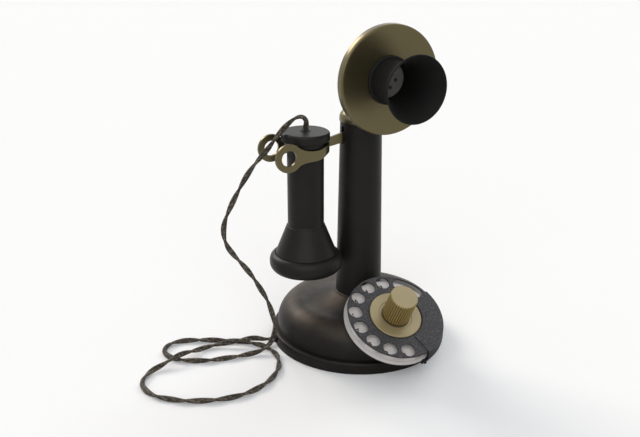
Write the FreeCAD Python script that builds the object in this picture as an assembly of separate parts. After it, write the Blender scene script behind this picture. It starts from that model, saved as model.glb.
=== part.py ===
import FreeCAD, Part
import math
import os

from FreeCAD import Placement, Rotation, Vector

# Desk-stand telephone: a bell-shaped base with a sloping dial, a tapered stem with a
# forked hook that carries the receiver, and a transmitter that tilts on top.
# Millimetres. Origin at the middle of the base's underside, +Z up, the transmitter and
# the dial face -Y, and the receiver hangs on the -X side.

# General clearances
fit_gap = 0.05        # radial play of a shaft in its bearing, and of parts nested in one body
seat_gap = 0.3        # between curved faces that move past each other
edge_break = 0.5      # small chamfers on turned edges
overrun = 1.0         # how far a cut is drawn past the face that it opens

# Base shell
base_radius = 80.0
shell_wall = 3.0
rim_height = 10.9
rim_corner = 2.4
floor_gap = 0.6       # the rim stops this far above the surface, and the pad stands on it
rim_step = 4.5        # from the rim in to the dome's side
shoulder_radius = 23.3
dome_top = 38.9
foot_rise = 6.3       # the dome's middle sweeps up this far to the stem
foot_ring_width = 1.4
foot_ring_height = 1.6
boss_radius = 4.5
boss_inset = 15.5     # from the dome's side in to the bosses
boss_count = 3
boss_bore = 9.0

# Base plate and pad
pad_thickness = 1.0
plate_thickness = 1.8
plate_screw_radius = 1.8
plate_screw_head = 3.4
plate_screw_sink = 0.2      # the heads stay this far above the surface below
plate_screw_thread = 5.6    # how far the screws reach above the plate's underside
pad_edge = 1.0              # the pad stops this far inside the plate's edge

# Stem
stem_foot_radius = 20.95
stem_top_radius = 18.25
stem_spigot = 9.2           # the stem's foot goes this far down into the base
stem_top = 207.0
stem_wall = 1.8
slot_width = 4.2
slot_drop = 3.4             # from the stem's top down to the slot
slot_length = 16.2
stem_nut_width = 5.5
stem_nut_height = 5.0
stem_nut_notch = 1.6
stem_nut_notches = 6

# Stem cap and the ears that carry the transmitter
cap_overhang = 0.85
cap_edge = 2.4
cap_height = 10.0
cap_plug_depth = 4.0
cap_plug_chamfer = 0.6
ear_thickness = 3.4
ear_radius = 7.0
ear_spread = 1.5            # the ears widen by this much towards their feet
ear_sink = 1.0              # and go this far down into the cap
tilt_rise = 15.0            # from the cap's top up to the tilt screw
tilt_screw_radius = 2.4
tilt_screw_head = 4.6
tilt_head_height = 2.4
tilt_slot_depth = 0.6
tilt_slot_width = 0.9
tilt_nut_radius = 4.4
tilt_nut_height = 2.2
tilt_thread_end = 1.5       # the screw stands out this far beyond its ear
lug_thickness = 9.0
lug_top = 8.0               # above the transmitter's axis
lug_foot_radius = 12.0
lug_foot_thickness = 2.4
lug_neck = 3.0              # the lug's eye starts this far behind the screw
lug_trim = 0.8              # the lug's eye is this much smaller than the ears

# Transmitter, along its own axis forward from the stem's axis
mouth_rise = 18.1        # from the tilt screw up to the transmitter's axis
face_radius = 45.4
face_front = 47.4
face_rim_depth = 6.8
face_sheet = 1.5
face_corner = 1.3
face_crown = 1.2         # flat on top of the rolled rim
face_dish = 2.2
cup_radius = 34.0
cup_back = 25.0
cup_sheet = 1.6
cup_corner = 9.0
cup_flange_back = 0.6     # the cup's flange lies this far inside the rim's back edge
flange_radius = 20.0
flange_thickness = 2.5
flange_chamfer = 0.8
neck_radius = 17.3
neck_length = 9.0
mouth_radius = 27.5
mouth_reach = 39.6
mouth_wall = 2.2
mouth_lip = 0.5
grille_depth = 4.8
grille_thickness = 1.2
grille_hole = 1.7
grille_ring = 7.5
grille_hole_count = 6
grille_turn = -8.0
voice_disc_radius = 30.0
voice_disc_thickness = 0.5
voice_disc_seat = 0.2     # in front of the rim's back edge
button_radius = 12.0
button_depth = 6.0
button_step = 1.2
bridge_width = 10.0
bridge_thickness = 2.0

# Receiver
receiver_reach = 54.0          # from the stem's axis to the receiver's axis
receiver_radius = 15.9
receiver_wall = 2.4
grip_length = 75.0
receiver_flare_radius = 26.4
flare_length = 26.0
flare_blend = 1.0              # rounding where the grip turns into the flare
thread_depth = 0.6             # of the thread between shell and ear cap
ear_cap_rim = 5.9              # how far the ear cap stands out beyond the flare
ear_cap_step = 1.8             # from the flare's edge down to the ear cap
ear_cap_height = 15.6
ear_hole_radius = 6.5
ear_dish_rise = 4.0
ear_cap_wall = 2.6
sound_disc_thickness = 0.4
collar_overhang = 2.2
collar_drop = 2.2              # from the hook's pivot down to the collar's edge
collar_length = 4.7
cap_disc_overhang = 2.9
cap_disc_height = 7.4
cap_disc_corner = 2.2
nut_radius = 4.8
nut_rise = 0.8
nut_chamfer = 1.4
nut_seat = 0.2
magnet_width = 4.0
magnet_gap = 3.0               # half the gap between the magnet's bars
magnet_drop = 16.0
magnet_bridge = 6.0
clamp_rise = 12.0
clamp_width = 10.0
clamp_height = 4.0
coil_radius = 4.8
coil_height = 14.0
coil_seat = 1.2
pole_gap = 2.0                 # the magnet ends this far above the coils

# Hook
strip_thickness = 2.2
prong_underlap = 1.1        # the prongs' inside faces lie this far under the collar's edge
ring_lead = 24.0            # from the receiver's axis out to the rings
ring_drop = 4.3             # from the collar's edge down to the rings' middle
ring_radius = 12.2
ring_hole_radius = 6.7
pivot_x = 5.0
pivot_drop = 13.5           # from the stem's top down to the pivot
pivot_pin_radius = 1.6
hook_boss_radius = 4.2
arm_half_height = 4.35      # of the arm where it leaves the stem
prong_root_height = 10.0    # of the prongs where they leave the arm
prong_height = 9.4          # where the collar rests
tail_width = 4.0
tail_length = 13.5
roller_radius = 2.4
roller_length = 7.0
roller_pin_radius = 1.0
roller_rise = 0.4

# Hook switch inside the stem
frame_plate_x = 12.0
frame_plate_thickness = 1.5
frame_plate_width = 18.0
frame_height = 65.0
frame_rise = 5.5            # above the hook's pivot
cheek_thickness = 1.5
cheek_inner = 8.0
cheek_reach = 4.5           # the cheeks stand out this far in front of the pivot
cheek_drop = 7.0
foot_half_width = 3.0
lower_foot_rise = 6.0
upper_foot_drop = 10.0
leaf_thickness = 0.4
leaf_width = 7.0
leaf_pitch = 1.6
leaf_count = 3
leaf_lap = 4.0              # the springs reach this far up beside the hook's tail
leaf_step = 1.0
leaf_tail = 2.0
pile_rise = 3.0
pile_height = 12.0
pile_margin = 0.5

# Dial: its own frame has +Z out of the dial and +Y up the slope, at the wheel's top face
dial_tilt = 30.0
dial_setback = 9.4            # the wheel's middle lies this far inside the dome's side
dial_rise = 8.3               # and this far above the dome
wheel_radius = 43.0
wheel_thickness = 1.8
finger_hole_radius = 6.25
finger_inset = 7.5
finger_hole_count = 8
finger_pitch = 360.0 / 14.0
finger_first = 82.0
kidney_pitches = 1
plate_ring_step = 0.7
plate_ring_inner = 24.0
plate_ring_top = -8.0
plate_ring_thickness = 3.3
plate_ring_corner = 1.7
housing_top_wall = 2.0
housing_flange_step = 1.0     # its flange ends this far inside the number plate's edge
housing_radius = 33.0
housing_foot_radius = 26.0
housing_depth = 14.7
housing_wall = 2.4
hub_step = 0.6                # the hub ends this far below the number plate's top
centre_radius = 23.25
centre_rise = 1.25
disc_chamfer = 0.35
centre_step = 2.5             # from the knob's side out to the disc's step
knob_radius = 12.1
knob_top = 27.5
knob_foot_step = 1.1
knob_foot = 1.8
knob_chamfer = 0.7
knob_flutes = 36
knob_flute_radius = 0.75
knob_flute_offset = 0.12      # the flutes' middles lie this far outside the knob
shaft_radius = 3.0
shaft_flange_radius = 9.0
shaft_flange_thickness = 2.0
guard_start = -74.0
guard_end = 22.0
guard_inner_gap = 1.35        # round the brass disc
guard_rise = 1.3              # top of the guard above the wheel
guard_edge = 0.5              # thickness that the ramps run out to
guard_sheet = 0.7
guard_shoulder = 1.9          # how far the rounded edge reaches in from the skirt
guard_skirt_width = 2.7
guard_skirt_drop = 0.6        # below the number plate's top
guard_lower_ramp = 12.0
guard_upper_ramp = 13.0
guard_ramp_skew = 7.0         # the lower ramp's foot leans this far round towards the middle
guard_tab = 6.0
stop_screw_radius = 1.3
stop_screw_reach = 0.9

# Dial mechanism
tooth_module = 0.7
main_teeth = 36
pinion_teeth = 12
fine_module = 0.5
second_teeth = 30
governor_teeth = 12
gear_thickness = 2.0
gear_backlash = 0.12
train_turn = 150.0
governor_turn = 262.0
arbor_radius = 1.2
arbor_bearing = 1.0           # how deep the arbors' upper ends sit in the housing
train_gap = 0.8               # between the housing, the gears and each other
arbor_collar = 0.8
governor_drum_radius = 6.2
governor_drum_height = 3.4
spring_turns = 4
spring_pitch = 1.5
spring_thickness = 0.5
spring_width = 3.0
mechanism_plate_thickness = 1.2

# Terminals and cord
block_length = 46.0
block_width = 14.0
block_height = 9.0
block_y = 38.0
terminal_count = 4
terminal_radius = 2.6
terminal_head = 1.8
grommet_angle = 169.7
grommet_height = 5.2
grommet_flange_radius = 4.0
grommet_flange = 1.7
grommet_step = 0.6
cord_radius = 2.45
cord_play = 0.2
cord_lead = 8.0         # straight run in front of the grommet
cord_tail = 0.5         # and past the rim's inner face
cord_pass = 0.5         # air between two strands that cross
cord_grip = 7.8         # how far the cord goes down into the receiver's nut

# Sizes that follow from those above
dome_radius = base_radius - rim_step
foot_height = dome_top + foot_rise
boss_circle = dome_radius - boss_inset
plate_top = pad_thickness + plate_thickness
plate_radius = base_radius - shell_wall - fit_gap
stem_hole_radius = stem_foot_radius + fit_gap
foot_ring_radius = stem_hole_radius + foot_ring_width
stem_bottom = foot_height - stem_spigot
slot_top = stem_top - slot_drop
slot_bottom = slot_top - slot_length
cap_radius = stem_top_radius + cap_overhang
cap_top = stem_top + cap_height
tilt_height = cap_top + tilt_rise
mouth_height = tilt_height + mouth_rise
pivot_z = stem_top - pivot_drop
tail_end = pivot_z - tail_length
roller_z = tail_end + roller_radius + roller_rise
collar_radius = receiver_radius + collar_overhang
collar_bottom = pivot_z - collar_drop
receiver_top = collar_bottom + collar_length
receiver_flare_top = receiver_top - grip_length
receiver_flare_bottom = receiver_flare_top - flare_length
ear_cap_radius = receiver_flare_radius + ear_cap_rim
ear_cap_top = receiver_flare_bottom - ear_cap_step
ear_cap_bottom = ear_cap_top - ear_cap_height
disc_seat = ear_cap_bottom + ear_dish_rise + ear_cap_wall
cap_disc_radius = collar_radius + cap_disc_overhang
cap_disc_top = receiver_top + cap_disc_height
magnet_top = receiver_top - magnet_drop
bend_radius = collar_radius + seat_gap
prong_reach = collar_radius - prong_underlap
ring_centre_x = -receiver_reach - ring_lead
ring_centre_z = collar_bottom - ring_drop
frame_top = pivot_z + frame_rise
frame_bottom = frame_top - frame_height
leaf_top = tail_end + leaf_lap
pile_bottom = frame_bottom + pile_rise
dial_forward = dome_radius - dial_setback
dial_height = dome_top + dial_rise
finger_ring = wheel_radius - finger_inset
plate_ring_radius = wheel_radius + plate_ring_step
plate_ring_bottom = plate_ring_top - plate_ring_thickness
housing_flange_radius = plate_ring_radius - housing_flange_step
housing_top = plate_ring_bottom
housing_bottom = housing_top - housing_depth
centre_step_radius = knob_radius + centre_step
knob_foot_radius = knob_radius - knob_foot_step
guard_inner = centre_radius + guard_inner_gap
guard_skirt_radius = plate_ring_radius + guard_skirt_width
guard_skirt_height = plate_ring_top - guard_skirt_drop


def at(radius, height):
    """A point of a section, in the XZ plane."""
    return Vector(radius, 0, height)


def line(first, second):
    return Part.LineSegment(first, second).toShape()


def arc(first, middle, last):
    return Part.Arc(first, middle, last).toShape()


def arc_about(centre, first, last):
    """The short arc from first to last about a centre."""
    radius = (first - centre).Length
    middle = (first - centre) + (last - centre)
    middle.normalize()
    return arc(first, centre + middle * radius, last)


def polyline(*points):
    return [line(a, b) for a, b in zip(points, points[1:])]


def curve(*points):
    spline = Part.BSplineCurve()
    spline.interpolate(list(points))
    return spline.toShape()


def spin(*edges):
    """The solid of revolution about Z of a closed section."""
    section = Part.Face(Part.Wire(Part.__sortEdges__(list(edges))))
    return section.revolve(Vector(0, 0, 0), Vector(0, 0, 1), 360)


def tube(outer, inner, bottom, top):
    solid = Part.makeCylinder(outer, top - bottom, Vector(0, 0, bottom))
    if inner <= 0:
        return solid
    return solid.cut(Part.makeCylinder(inner, top - bottom + 2 * overrun, Vector(0, 0, bottom - overrun)))


def rod(radius, start, end):
    direction = end - start
    return Part.makeCylinder(radius, direction.Length, start, direction)


def block(low, high):
    size = high - low
    return Part.makeBox(size.x, size.y, size.z, low)


def on_circle(radius, degrees, height=0.0):
    angle = math.radians(degrees)
    return Vector(radius * math.cos(angle), radius * math.sin(angle), height)


def joined(shapes):
    result = shapes[0]
    for shape in shapes[1:]:
        result = result.fuse(shape)
    return result.removeSplitter()


def placed(shape, placement):
    copy = shape.copy()
    copy.Placement = placement.multiply(copy.Placement)
    return copy


def save(name, *solids):
    """Writes one node; several separate solids may share it."""
    shape = solids[0] if len(solids) == 1 else Part.makeCompound(list(solids))
    shape.exportStep("parts/" + name + ".step")


dial_frame = Placement(Vector(0, -dial_forward, dial_height), Rotation(Vector(1, 0, 0), dial_tilt))
mouth_frame = Placement(Vector(0, 0, mouth_height), Rotation(Vector(1, 0, 0), 90))
receiver_frame = Placement(Vector(-receiver_reach, 0, 0), Rotation())

shoulder_centre = at(dome_radius - shoulder_radius, dome_top - shoulder_radius)
flare_run = shoulder_centre.x - foot_ring_radius
flare_radius = (flare_run ** 2 + foot_rise ** 2) / (2 * foot_rise)
flare_centre = at(shoulder_centre.x, dome_top + flare_radius)


def stem_radius(height):
    """The stem tapers evenly from its foot to its top."""
    share = (height - foot_height) / (stem_top - foot_height)
    return stem_foot_radius + (stem_top_radius - stem_foot_radius) * share


def flare_height(radius, drop=0.0):
    """Height of the base's concave top at a radius, or of the face that lies drop below it."""
    reach = flare_radius + drop
    return flare_centre.z - math.sqrt(reach ** 2 - (flare_centre.x - radius) ** 2)


def inner_dome_height(radius):
    """Height of the base shell's inner face at a radius."""
    if radius <= shoulder_centre.x:
        return flare_height(radius, shell_wall)
    inner = shoulder_radius - shell_wall
    return shoulder_centre.z + math.sqrt(inner ** 2 - (radius - shoulder_centre.x) ** 2)


def base_shell():
    outer_side = at(dome_radius, shoulder_centre.z)
    inner_side = at(dome_radius - shell_wall, shoulder_centre.z)
    crest = at(shoulder_centre.x, dome_top)
    inner_crest = at(shoulder_centre.x, dome_top - shell_wall)
    collar = at(foot_ring_radius, foot_height)
    hole_top = at(stem_hole_radius, foot_height)
    hole_bottom = at(stem_hole_radius, flare_height(stem_hole_radius, shell_wall))
    corner_centre = at(base_radius - rim_corner, rim_height - rim_corner)
    corner_low = at(base_radius, corner_centre.z)
    corner_high = at(corner_centre.x, rim_height)
    ledge = at(dome_radius - shell_wall, rim_height - shell_wall)
    ledge_edge = at(base_radius - shell_wall, rim_height - shell_wall)
    shell = spin(
        *polyline(at(base_radius - shell_wall, floor_gap), at(base_radius, floor_gap), corner_low),
        arc_about(corner_centre, corner_low, corner_high),
        *polyline(corner_high, at(dome_radius, rim_height), outer_side),
        arc_about(shoulder_centre, outer_side, crest),
        arc_about(flare_centre, crest, collar),
        *polyline(collar, hole_top, hole_bottom),
        arc_about(flare_centre, hole_bottom, inner_crest),
        arc_about(shoulder_centre, inner_crest, inner_side),
        *polyline(inner_side, ledge, ledge_edge, at(base_radius - shell_wall, floor_gap)),
    )
    top = inner_dome_height(boss_circle - boss_radius) + shell_wall / 2
    for number in range(boss_count):
        foot = on_circle(boss_circle, 90 + 360 / boss_count * number, plate_top)
        post = Part.makeCylinder(boss_radius, top - plate_top, foot)
        shell = shell.fuse(post.common(spin_fill()))
    opening = placed(housing_outline(seat_gap), dial_frame)
    shell = shell.cut(opening)
    for number in range(boss_count):
        foot = on_circle(boss_circle, 90 + 360 / boss_count * number, plate_top - overrun)
        shell = shell.cut(Part.makeCylinder(plate_screw_radius + fit_gap, boss_bore, foot))
    outward = on_circle(1.0, grommet_angle)
    start = outward * (base_radius - 3 * shell_wall) + Vector(0, 0, grommet_height)
    hole = Part.makeCylinder(grommet_flange_radius - grommet_step, 4 * shell_wall, start, outward)
    return shell.cut(hole).removeSplitter()


def spin_fill():
    """The solid outer form of the dome, to trim what stands inside it."""
    side = at(dome_radius - shell_wall / 2, 0)
    outer_side = at(dome_radius - shell_wall / 2, shoulder_centre.z)
    crest = at(shoulder_centre.x, dome_top - shell_wall / 2)
    centre_top = at(stem_hole_radius, dome_top - shell_wall / 2)
    return spin(
        *polyline(at(stem_hole_radius, 0), side, outer_side),
        arc_about(shoulder_centre, outer_side, crest),
        *polyline(crest, centre_top, at(stem_hole_radius, 0)),
    )


def stem_foot_ring():
    inner = stem_hole_radius
    low = at(inner, foot_height)
    edge = at(foot_ring_radius, foot_height)
    top = at(inner, foot_height + foot_ring_height)
    bulge = at(foot_ring_radius - foot_ring_width * 0.21, foot_height + foot_ring_height * 0.62)
    return spin(line(low, edge), arc(edge, bulge, top), line(top, low))


def base_plate():
    plate = tube(plate_radius, 0, pad_thickness, plate_top)
    for number in range(boss_count):
        foot = on_circle(boss_circle, 90 + 360 / boss_count * number, pad_thickness - overrun)
        hole = Part.makeCylinder(plate_screw_radius + fit_gap, plate_thickness + 2 * overrun, foot)
        plate = plate.cut(hole)
    return plate


def foot_pad():
    pad = tube(plate_radius - pad_edge, 0, 0, pad_thickness)
    for number in range(boss_count):
        foot = on_circle(boss_circle, 90 + 360 / boss_count * number, -overrun)
        pad = pad.cut(Part.makeCylinder(plate_screw_head + 2 * seat_gap, pad_thickness + 2 * overrun, foot))
    return pad


def plate_screws():
    screws = []
    for number in range(boss_count):
        foot = on_circle(boss_circle, 90 + 360 / boss_count * number, plate_screw_sink)
        head = Part.makeCylinder(plate_screw_head, pad_thickness - plate_screw_sink, foot)
        reach = pad_thickness - plate_screw_sink + plate_screw_thread + plate_thickness
        shank = Part.makeCylinder(plate_screw_radius, reach, foot)
        screws.append(head.fuse(shank).removeSplitter())
    return screws


def stem_tube():
    bottom_radius = stem_foot_radius
    outer = spin(*polyline(
        at(bottom_radius - stem_wall, stem_bottom), at(bottom_radius, stem_bottom),
        at(bottom_radius, foot_height), at(stem_top_radius, stem_top),
        at(stem_top_radius - stem_wall, stem_top), at(bottom_radius - stem_wall, foot_height),
        at(bottom_radius - stem_wall, stem_bottom)))
    half = slot_width / 2
    reach = stem_radius(slot_bottom) + overrun
    slot = block(Vector(-reach, -half, slot_bottom + half), Vector(-reach / 2, half, slot_top - half))
    low = rod(half, Vector(-reach, 0, slot_bottom + half), Vector(-reach / 2, 0, slot_bottom + half))
    high = rod(half, Vector(-reach, 0, slot_top - half), Vector(-reach / 2, 0, slot_top - half))
    return outer.cut(joined([slot, low, high]))


def stem_nut():
    """A round nut that pulls the stem down into the base from inside."""
    radius = stem_foot_radius + stem_nut_width
    top = flare_height(radius, shell_wall) - fit_gap
    nut = tube(radius, stem_foot_radius + fit_gap, top - stem_nut_height, top)
    for number in range(stem_nut_notches):
        foot = on_circle(radius, 360 / stem_nut_notches * number, top - stem_nut_height - overrun)
        nut = nut.cut(Part.makeCylinder(stem_nut_notch, stem_nut_height + 2 * overrun, foot))
    return nut


def stem_cap():
    plug_radius = stem_top_radius - stem_wall - fit_gap
    corner = cap_top - stem_top - cap_edge
    centre = at(cap_radius - corner, stem_top + cap_edge)
    edge = at(cap_radius, centre.z)
    crown = at(centre.x, cap_top)
    plug_end = stem_top - cap_plug_depth
    cap = spin(
        *polyline(at(0, plug_end), at(plug_radius - cap_plug_chamfer, plug_end),
                  at(plug_radius, plug_end + cap_plug_chamfer),
                  at(plug_radius, stem_top), at(cap_radius, stem_top), edge),
        arc_about(centre, edge, crown),
        *polyline(crown, at(0, cap_top), at(0, plug_end)),
    )
    inner = lug_thickness / 2 + seat_gap
    foot = cap_top - ear_sink
    half = ear_radius + ear_spread
    ears = []
    for side in (-1, 1):
        face = Part.Face(Part.Wire([
            line(Vector(0, -half, foot), Vector(0, half, foot)),
            line(Vector(0, half, foot), Vector(0, ear_radius, tilt_height)),
            arc(Vector(0, ear_radius, tilt_height), Vector(0, 0, tilt_height + ear_radius),
                Vector(0, -ear_radius, tilt_height)),
            line(Vector(0, -ear_radius, tilt_height), Vector(0, -half, foot))]))
        ear = face.extrude(Vector(ear_thickness, 0, 0))
        ear.translate(Vector(inner if side > 0 else -inner - ear_thickness, 0, 0))
        ears.append(ear)
    cap = joined([cap] + ears)
    reach = inner + ear_thickness + overrun
    bore = rod(tilt_screw_radius + fit_gap, Vector(-reach, 0, tilt_height), Vector(reach, 0, tilt_height))
    return cap.cut(bore)


def tilt_screw():
    reach = lug_thickness / 2 + seat_gap + ear_thickness
    shoulder = Vector(-reach, 0, tilt_height)
    shank = rod(tilt_screw_radius, shoulder, Vector(reach + tilt_thread_end, 0, tilt_height))
    middle = Vector(-reach - tilt_head_height, 0, tilt_height)
    head = rod(tilt_screw_head, middle, shoulder)
    half = Vector(tilt_slot_depth, tilt_screw_head + overrun, tilt_slot_width / 2)
    return head.cut(block(middle - half, middle + half)).fuse(shank).removeSplitter()


def tilt_nut():
    """A flat hexagonal nut on the plain end of the tilt screw."""
    reach = lug_thickness / 2 + seat_gap + ear_thickness
    corners = [on_circle(tilt_nut_radius, 60 * n) for n in range(7)]
    outline = Part.Face(Part.Wire(polyline(*[Vector(reach, p.x, tilt_height + p.y) for p in corners])))
    nut = outline.extrude(Vector(tilt_nut_height, 0, 0))
    start = Vector(reach - overrun, 0, tilt_height)
    end = Vector(reach + tilt_nut_height + overrun, 0, tilt_height)
    return nut.cut(rod(tilt_screw_radius + fit_gap, start, end))


def face_plate():
    """The brass front: a shallow dish with a deep rolled rim."""
    back = face_front - face_rim_depth
    inner = face_radius - face_sheet
    floor = face_front - face_dish
    hole = neck_radius - mouth_wall + fit_gap
    corner = at(face_radius - face_corner, face_front - face_corner)
    side = at(face_radius, corner.z)
    crown = at(corner.x, face_front)
    dish_edge = at(corner.x - face_crown, face_front)
    return spin(
        *polyline(at(inner, back), at(face_radius - edge_break, back),
                  at(face_radius, back + edge_break), side),
        arc_about(corner, side, crown),
        *polyline(crown, dish_edge, at(flange_radius, floor), at(hole, floor), at(hole, floor - face_sheet),
                  at(flange_radius, floor - face_sheet), at(dish_edge.x, face_front - face_sheet),
                  at(inner, face_front - face_sheet), at(inner, back)),
    )


def transmitter_cup():
    """The back half: a drawn cup whose flange closes the rim from behind."""
    back = face_front - face_rim_depth
    flange_front = back + cup_flange_back + cup_sheet
    flange_edge = face_radius - face_sheet - fit_gap
    inner = cup_radius - cup_sheet
    centre = at(cup_radius - cup_corner, cup_back + cup_corner)
    inner_corner = cup_corner - cup_sheet
    return spin(
        *polyline(at(0, cup_back), at(centre.x, cup_back)),
        arc_about(centre, at(centre.x, cup_back), at(cup_radius, centre.z)),
        *polyline(at(cup_radius, centre.z), at(cup_radius, back + cup_flange_back),
                  at(flange_edge, back + cup_flange_back), at(flange_edge, flange_front),
                  at(inner, flange_front), at(inner, centre.z)),
        arc_about(centre, at(inner, centre.z), at(centre.x, cup_back + cup_sheet)),
        *polyline(at(centre.x, centre.z - inner_corner), at(0, cup_back + cup_sheet), at(0, cup_back)),
    )


def transmitter_lug():
    """The lug on the cup's back that tilts between the ears of the stem cap."""
    back = -cup_back
    eye = ear_radius - lug_trim
    top = Vector(0, back, mouth_height + lug_top)
    bottom = Vector(0, back, tilt_height - lug_foot_thickness)
    upper = Vector(0, -lug_neck, tilt_height + eye)
    lower = Vector(0, -lug_neck, tilt_height - eye)
    end = Vector(0, eye, tilt_height)
    edges = [line(top, bottom), line(bottom, lower), arc(lower, end, upper), line(upper, top)]
    face = Part.Face(Part.Wire(edges))
    lug = face.extrude(Vector(lug_thickness, 0, 0))
    lug.translate(Vector(-lug_thickness / 2, 0, 0))
    foot = rod(lug_foot_radius, Vector(0, back + lug_foot_thickness, mouth_height),
               Vector(0, back, mouth_height))
    lug = joined([lug, foot])
    side = Vector(lug_thickness, 0, 0)
    middle = Vector(0, 0, tilt_height)
    return lug.cut(rod(tilt_screw_radius + fit_gap, middle - side, middle + side))


def mouthpiece():
    """A flared trumpet on a short neck, with a thin flange against the face."""
    seat = face_front - face_dish
    flange_top = seat + flange_thickness
    neck_end = face_front + neck_length
    lip = face_front + mouth_reach
    throat = neck_radius - mouth_wall
    mouth = mouth_radius - mouth_wall * 0.55
    outer_mid = at(neck_radius + (mouth_radius - neck_radius) * 0.42, neck_end + (lip - neck_end) * 0.6)
    inner_mid = at(throat + (mouth - throat) * 0.42, neck_end + (lip - neck_end) * 0.6)
    lip_mid = at((mouth + mouth_radius) / 2, lip + mouth_lip)
    return spin(
        *polyline(at(throat, seat - face_sheet - grille_thickness), at(throat, neck_end)),
        arc(at(throat, neck_end), inner_mid, at(mouth, lip)),
        arc(at(mouth, lip), lip_mid, at(mouth_radius, lip)),
        arc(at(mouth_radius, lip), outer_mid, at(neck_radius, neck_end)),
        *polyline(at(neck_radius, neck_end), at(neck_radius, flange_top),
                  at(flange_radius - flange_chamfer, flange_top),
                  at(flange_radius, flange_top - flange_chamfer),
                  at(flange_radius, seat), at(throat + fit_gap, seat),
                  at(throat + fit_gap, seat - face_sheet - grille_thickness),
                  at(throat, seat - face_sheet - grille_thickness)),
    )


def mouthpiece_grille():
    back = face_front - grille_depth - grille_thickness
    radius = neck_radius - mouth_wall - fit_gap
    plate = tube(radius, 0, back, back + grille_thickness)
    depth = grille_thickness + 2 * overrun
    plate = plate.cut(Part.makeCylinder(grille_hole, depth, Vector(0, 0, back - overrun)))
    for number in range(grille_hole_count):
        turn = grille_turn + 360 / grille_hole_count * number
        foot = on_circle(grille_ring, turn, back - overrun)
        plate = plate.cut(Part.makeCylinder(grille_hole, depth, foot))
    return plate


def voice_disc():
    seat = button_front()
    return tube(cup_radius - cup_sheet - seat_gap, 0, seat, seat + voice_disc_thickness)


def button_front():
    """Where the voice disc lies, in front of the carbon button."""
    return face_front - face_rim_depth + voice_disc_seat


def carbon_button():
    front = button_front()
    return tube(button_radius, 0, front - button_depth, front - button_step)


def button_bridge():
    """The bar across the cup that holds the carbon button from behind."""
    front = button_front() - button_depth
    back = front - bridge_thickness
    reach = cup_radius - cup_sheet - seat_gap
    bar = block(Vector(-reach, -bridge_width / 2, back), Vector(reach, bridge_width / 2, front))
    return bar.common(tube(reach, 0, back - overrun, front + overrun))


def receiver_shell():
    """The long grip with a flared foot that the ear cap screws on to."""
    slope_start = at(receiver_radius + flare_blend, receiver_flare_top - 2 * flare_blend)
    slope_mid = at(receiver_radius + flare_blend * 0.28, receiver_flare_top - flare_blend * 1.2)
    flare_end = at(receiver_flare_radius, receiver_flare_bottom)
    thread = receiver_flare_radius + thread_depth
    foot = disc_seat + sound_disc_thickness + seat_gap
    inner = receiver_radius - receiver_wall
    inner_flare = at(receiver_flare_radius - receiver_wall, receiver_flare_bottom - flare_blend)
    return spin(
        line(at(inner, receiver_top), at(receiver_radius, receiver_top)),
        line(at(receiver_radius, receiver_top), at(receiver_radius, receiver_flare_top)),
        arc(at(receiver_radius, receiver_flare_top), slope_mid, slope_start),
        *polyline(slope_start, flare_end, at(thread, receiver_flare_bottom - 2.5 * thread_depth),
                  at(thread, foot), at(thread - receiver_wall, foot), inner_flare,
                  at(inner, receiver_flare_top - flare_blend), at(inner, receiver_top)),
    )


def ear_cap():
    """The rounded cap over the receiver's foot, dished to the ear, with a central hole."""
    outer = ear_cap_radius
    thread = receiver_flare_radius + thread_depth + fit_gap
    lip_top = at(thread + thread_depth, ear_cap_top)
    widest = at(outer, (ear_cap_top + ear_cap_bottom) / 2 + 0.8)
    foot = at(outer - 3.6, ear_cap_bottom)
    upper_mid = at(outer - 1.5, ear_cap_top - 2.2)
    lower_mid = at(outer - 0.95, ear_cap_bottom + 2.9)
    dish_edge = at(outer - 5.2, ear_cap_bottom)
    dish_foot = at(ear_hole_radius, ear_cap_bottom + ear_dish_rise)
    dish_mid = at((dish_edge.x + dish_foot.x) / 2, ear_cap_bottom + ear_dish_rise * 0.72)
    return spin(
        arc(lip_top, upper_mid, widest), arc(widest, lower_mid, foot),
        line(foot, dish_edge), arc(dish_edge, dish_mid, dish_foot),
        *polyline(dish_foot, at(ear_hole_radius, disc_seat), at(thread, disc_seat),
                  at(thread, ear_cap_top - thread_depth), lip_top),
    )


def sound_disc():
    return tube(receiver_flare_radius, 0, disc_seat, disc_seat + sound_disc_thickness)


def receiver_cap():
    """The top cap; its collar hangs on the fork."""
    inner = receiver_radius + fit_gap
    bore = nut_radius + fit_gap
    corner = at(cap_disc_radius - cap_disc_corner, cap_disc_top - cap_disc_corner)
    under = receiver_top + nut_seat
    return spin(
        *polyline(at(inner, collar_bottom), at(collar_radius - edge_break, collar_bottom),
                  at(collar_radius, collar_bottom + edge_break), at(collar_radius, receiver_top),
                  at(cap_disc_radius - edge_break, receiver_top),
                  at(cap_disc_radius, receiver_top + edge_break), at(cap_disc_radius, corner.z)),
        arc_about(corner, at(cap_disc_radius, corner.z), at(corner.x, cap_disc_top)),
        *polyline(at(corner.x, cap_disc_top), at(bore, cap_disc_top), at(bore, under),
                  at(inner, under), at(inner, collar_bottom)),
    )


def cord_nut():
    """The gland in the middle of the receiver's cap that grips the cord."""
    bore = cord_radius + cord_play
    low = receiver_top + nut_seat
    top = cap_disc_top + nut_rise
    return spin(*polyline(
        at(bore, low), at(nut_radius, low), at(nut_radius, cap_disc_top),
        at(nut_radius - nut_chamfer, top), at(bore, top), at(bore, low)))


def receiver_magnet():
    """A long horseshoe magnet: two bars joined across the top."""
    bottom = disc_seat + coil_height + pole_gap
    half = magnet_width
    reach = magnet_gap + magnet_width
    left = block(Vector(-reach, -half, bottom), Vector(-magnet_gap, half, magnet_top))
    right = block(Vector(magnet_gap, -half, bottom), Vector(reach, half, magnet_top))
    bridge = block(Vector(-reach, -half, magnet_top - magnet_bridge), Vector(reach, half, magnet_top))
    return joined([left, right, bridge])


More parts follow.
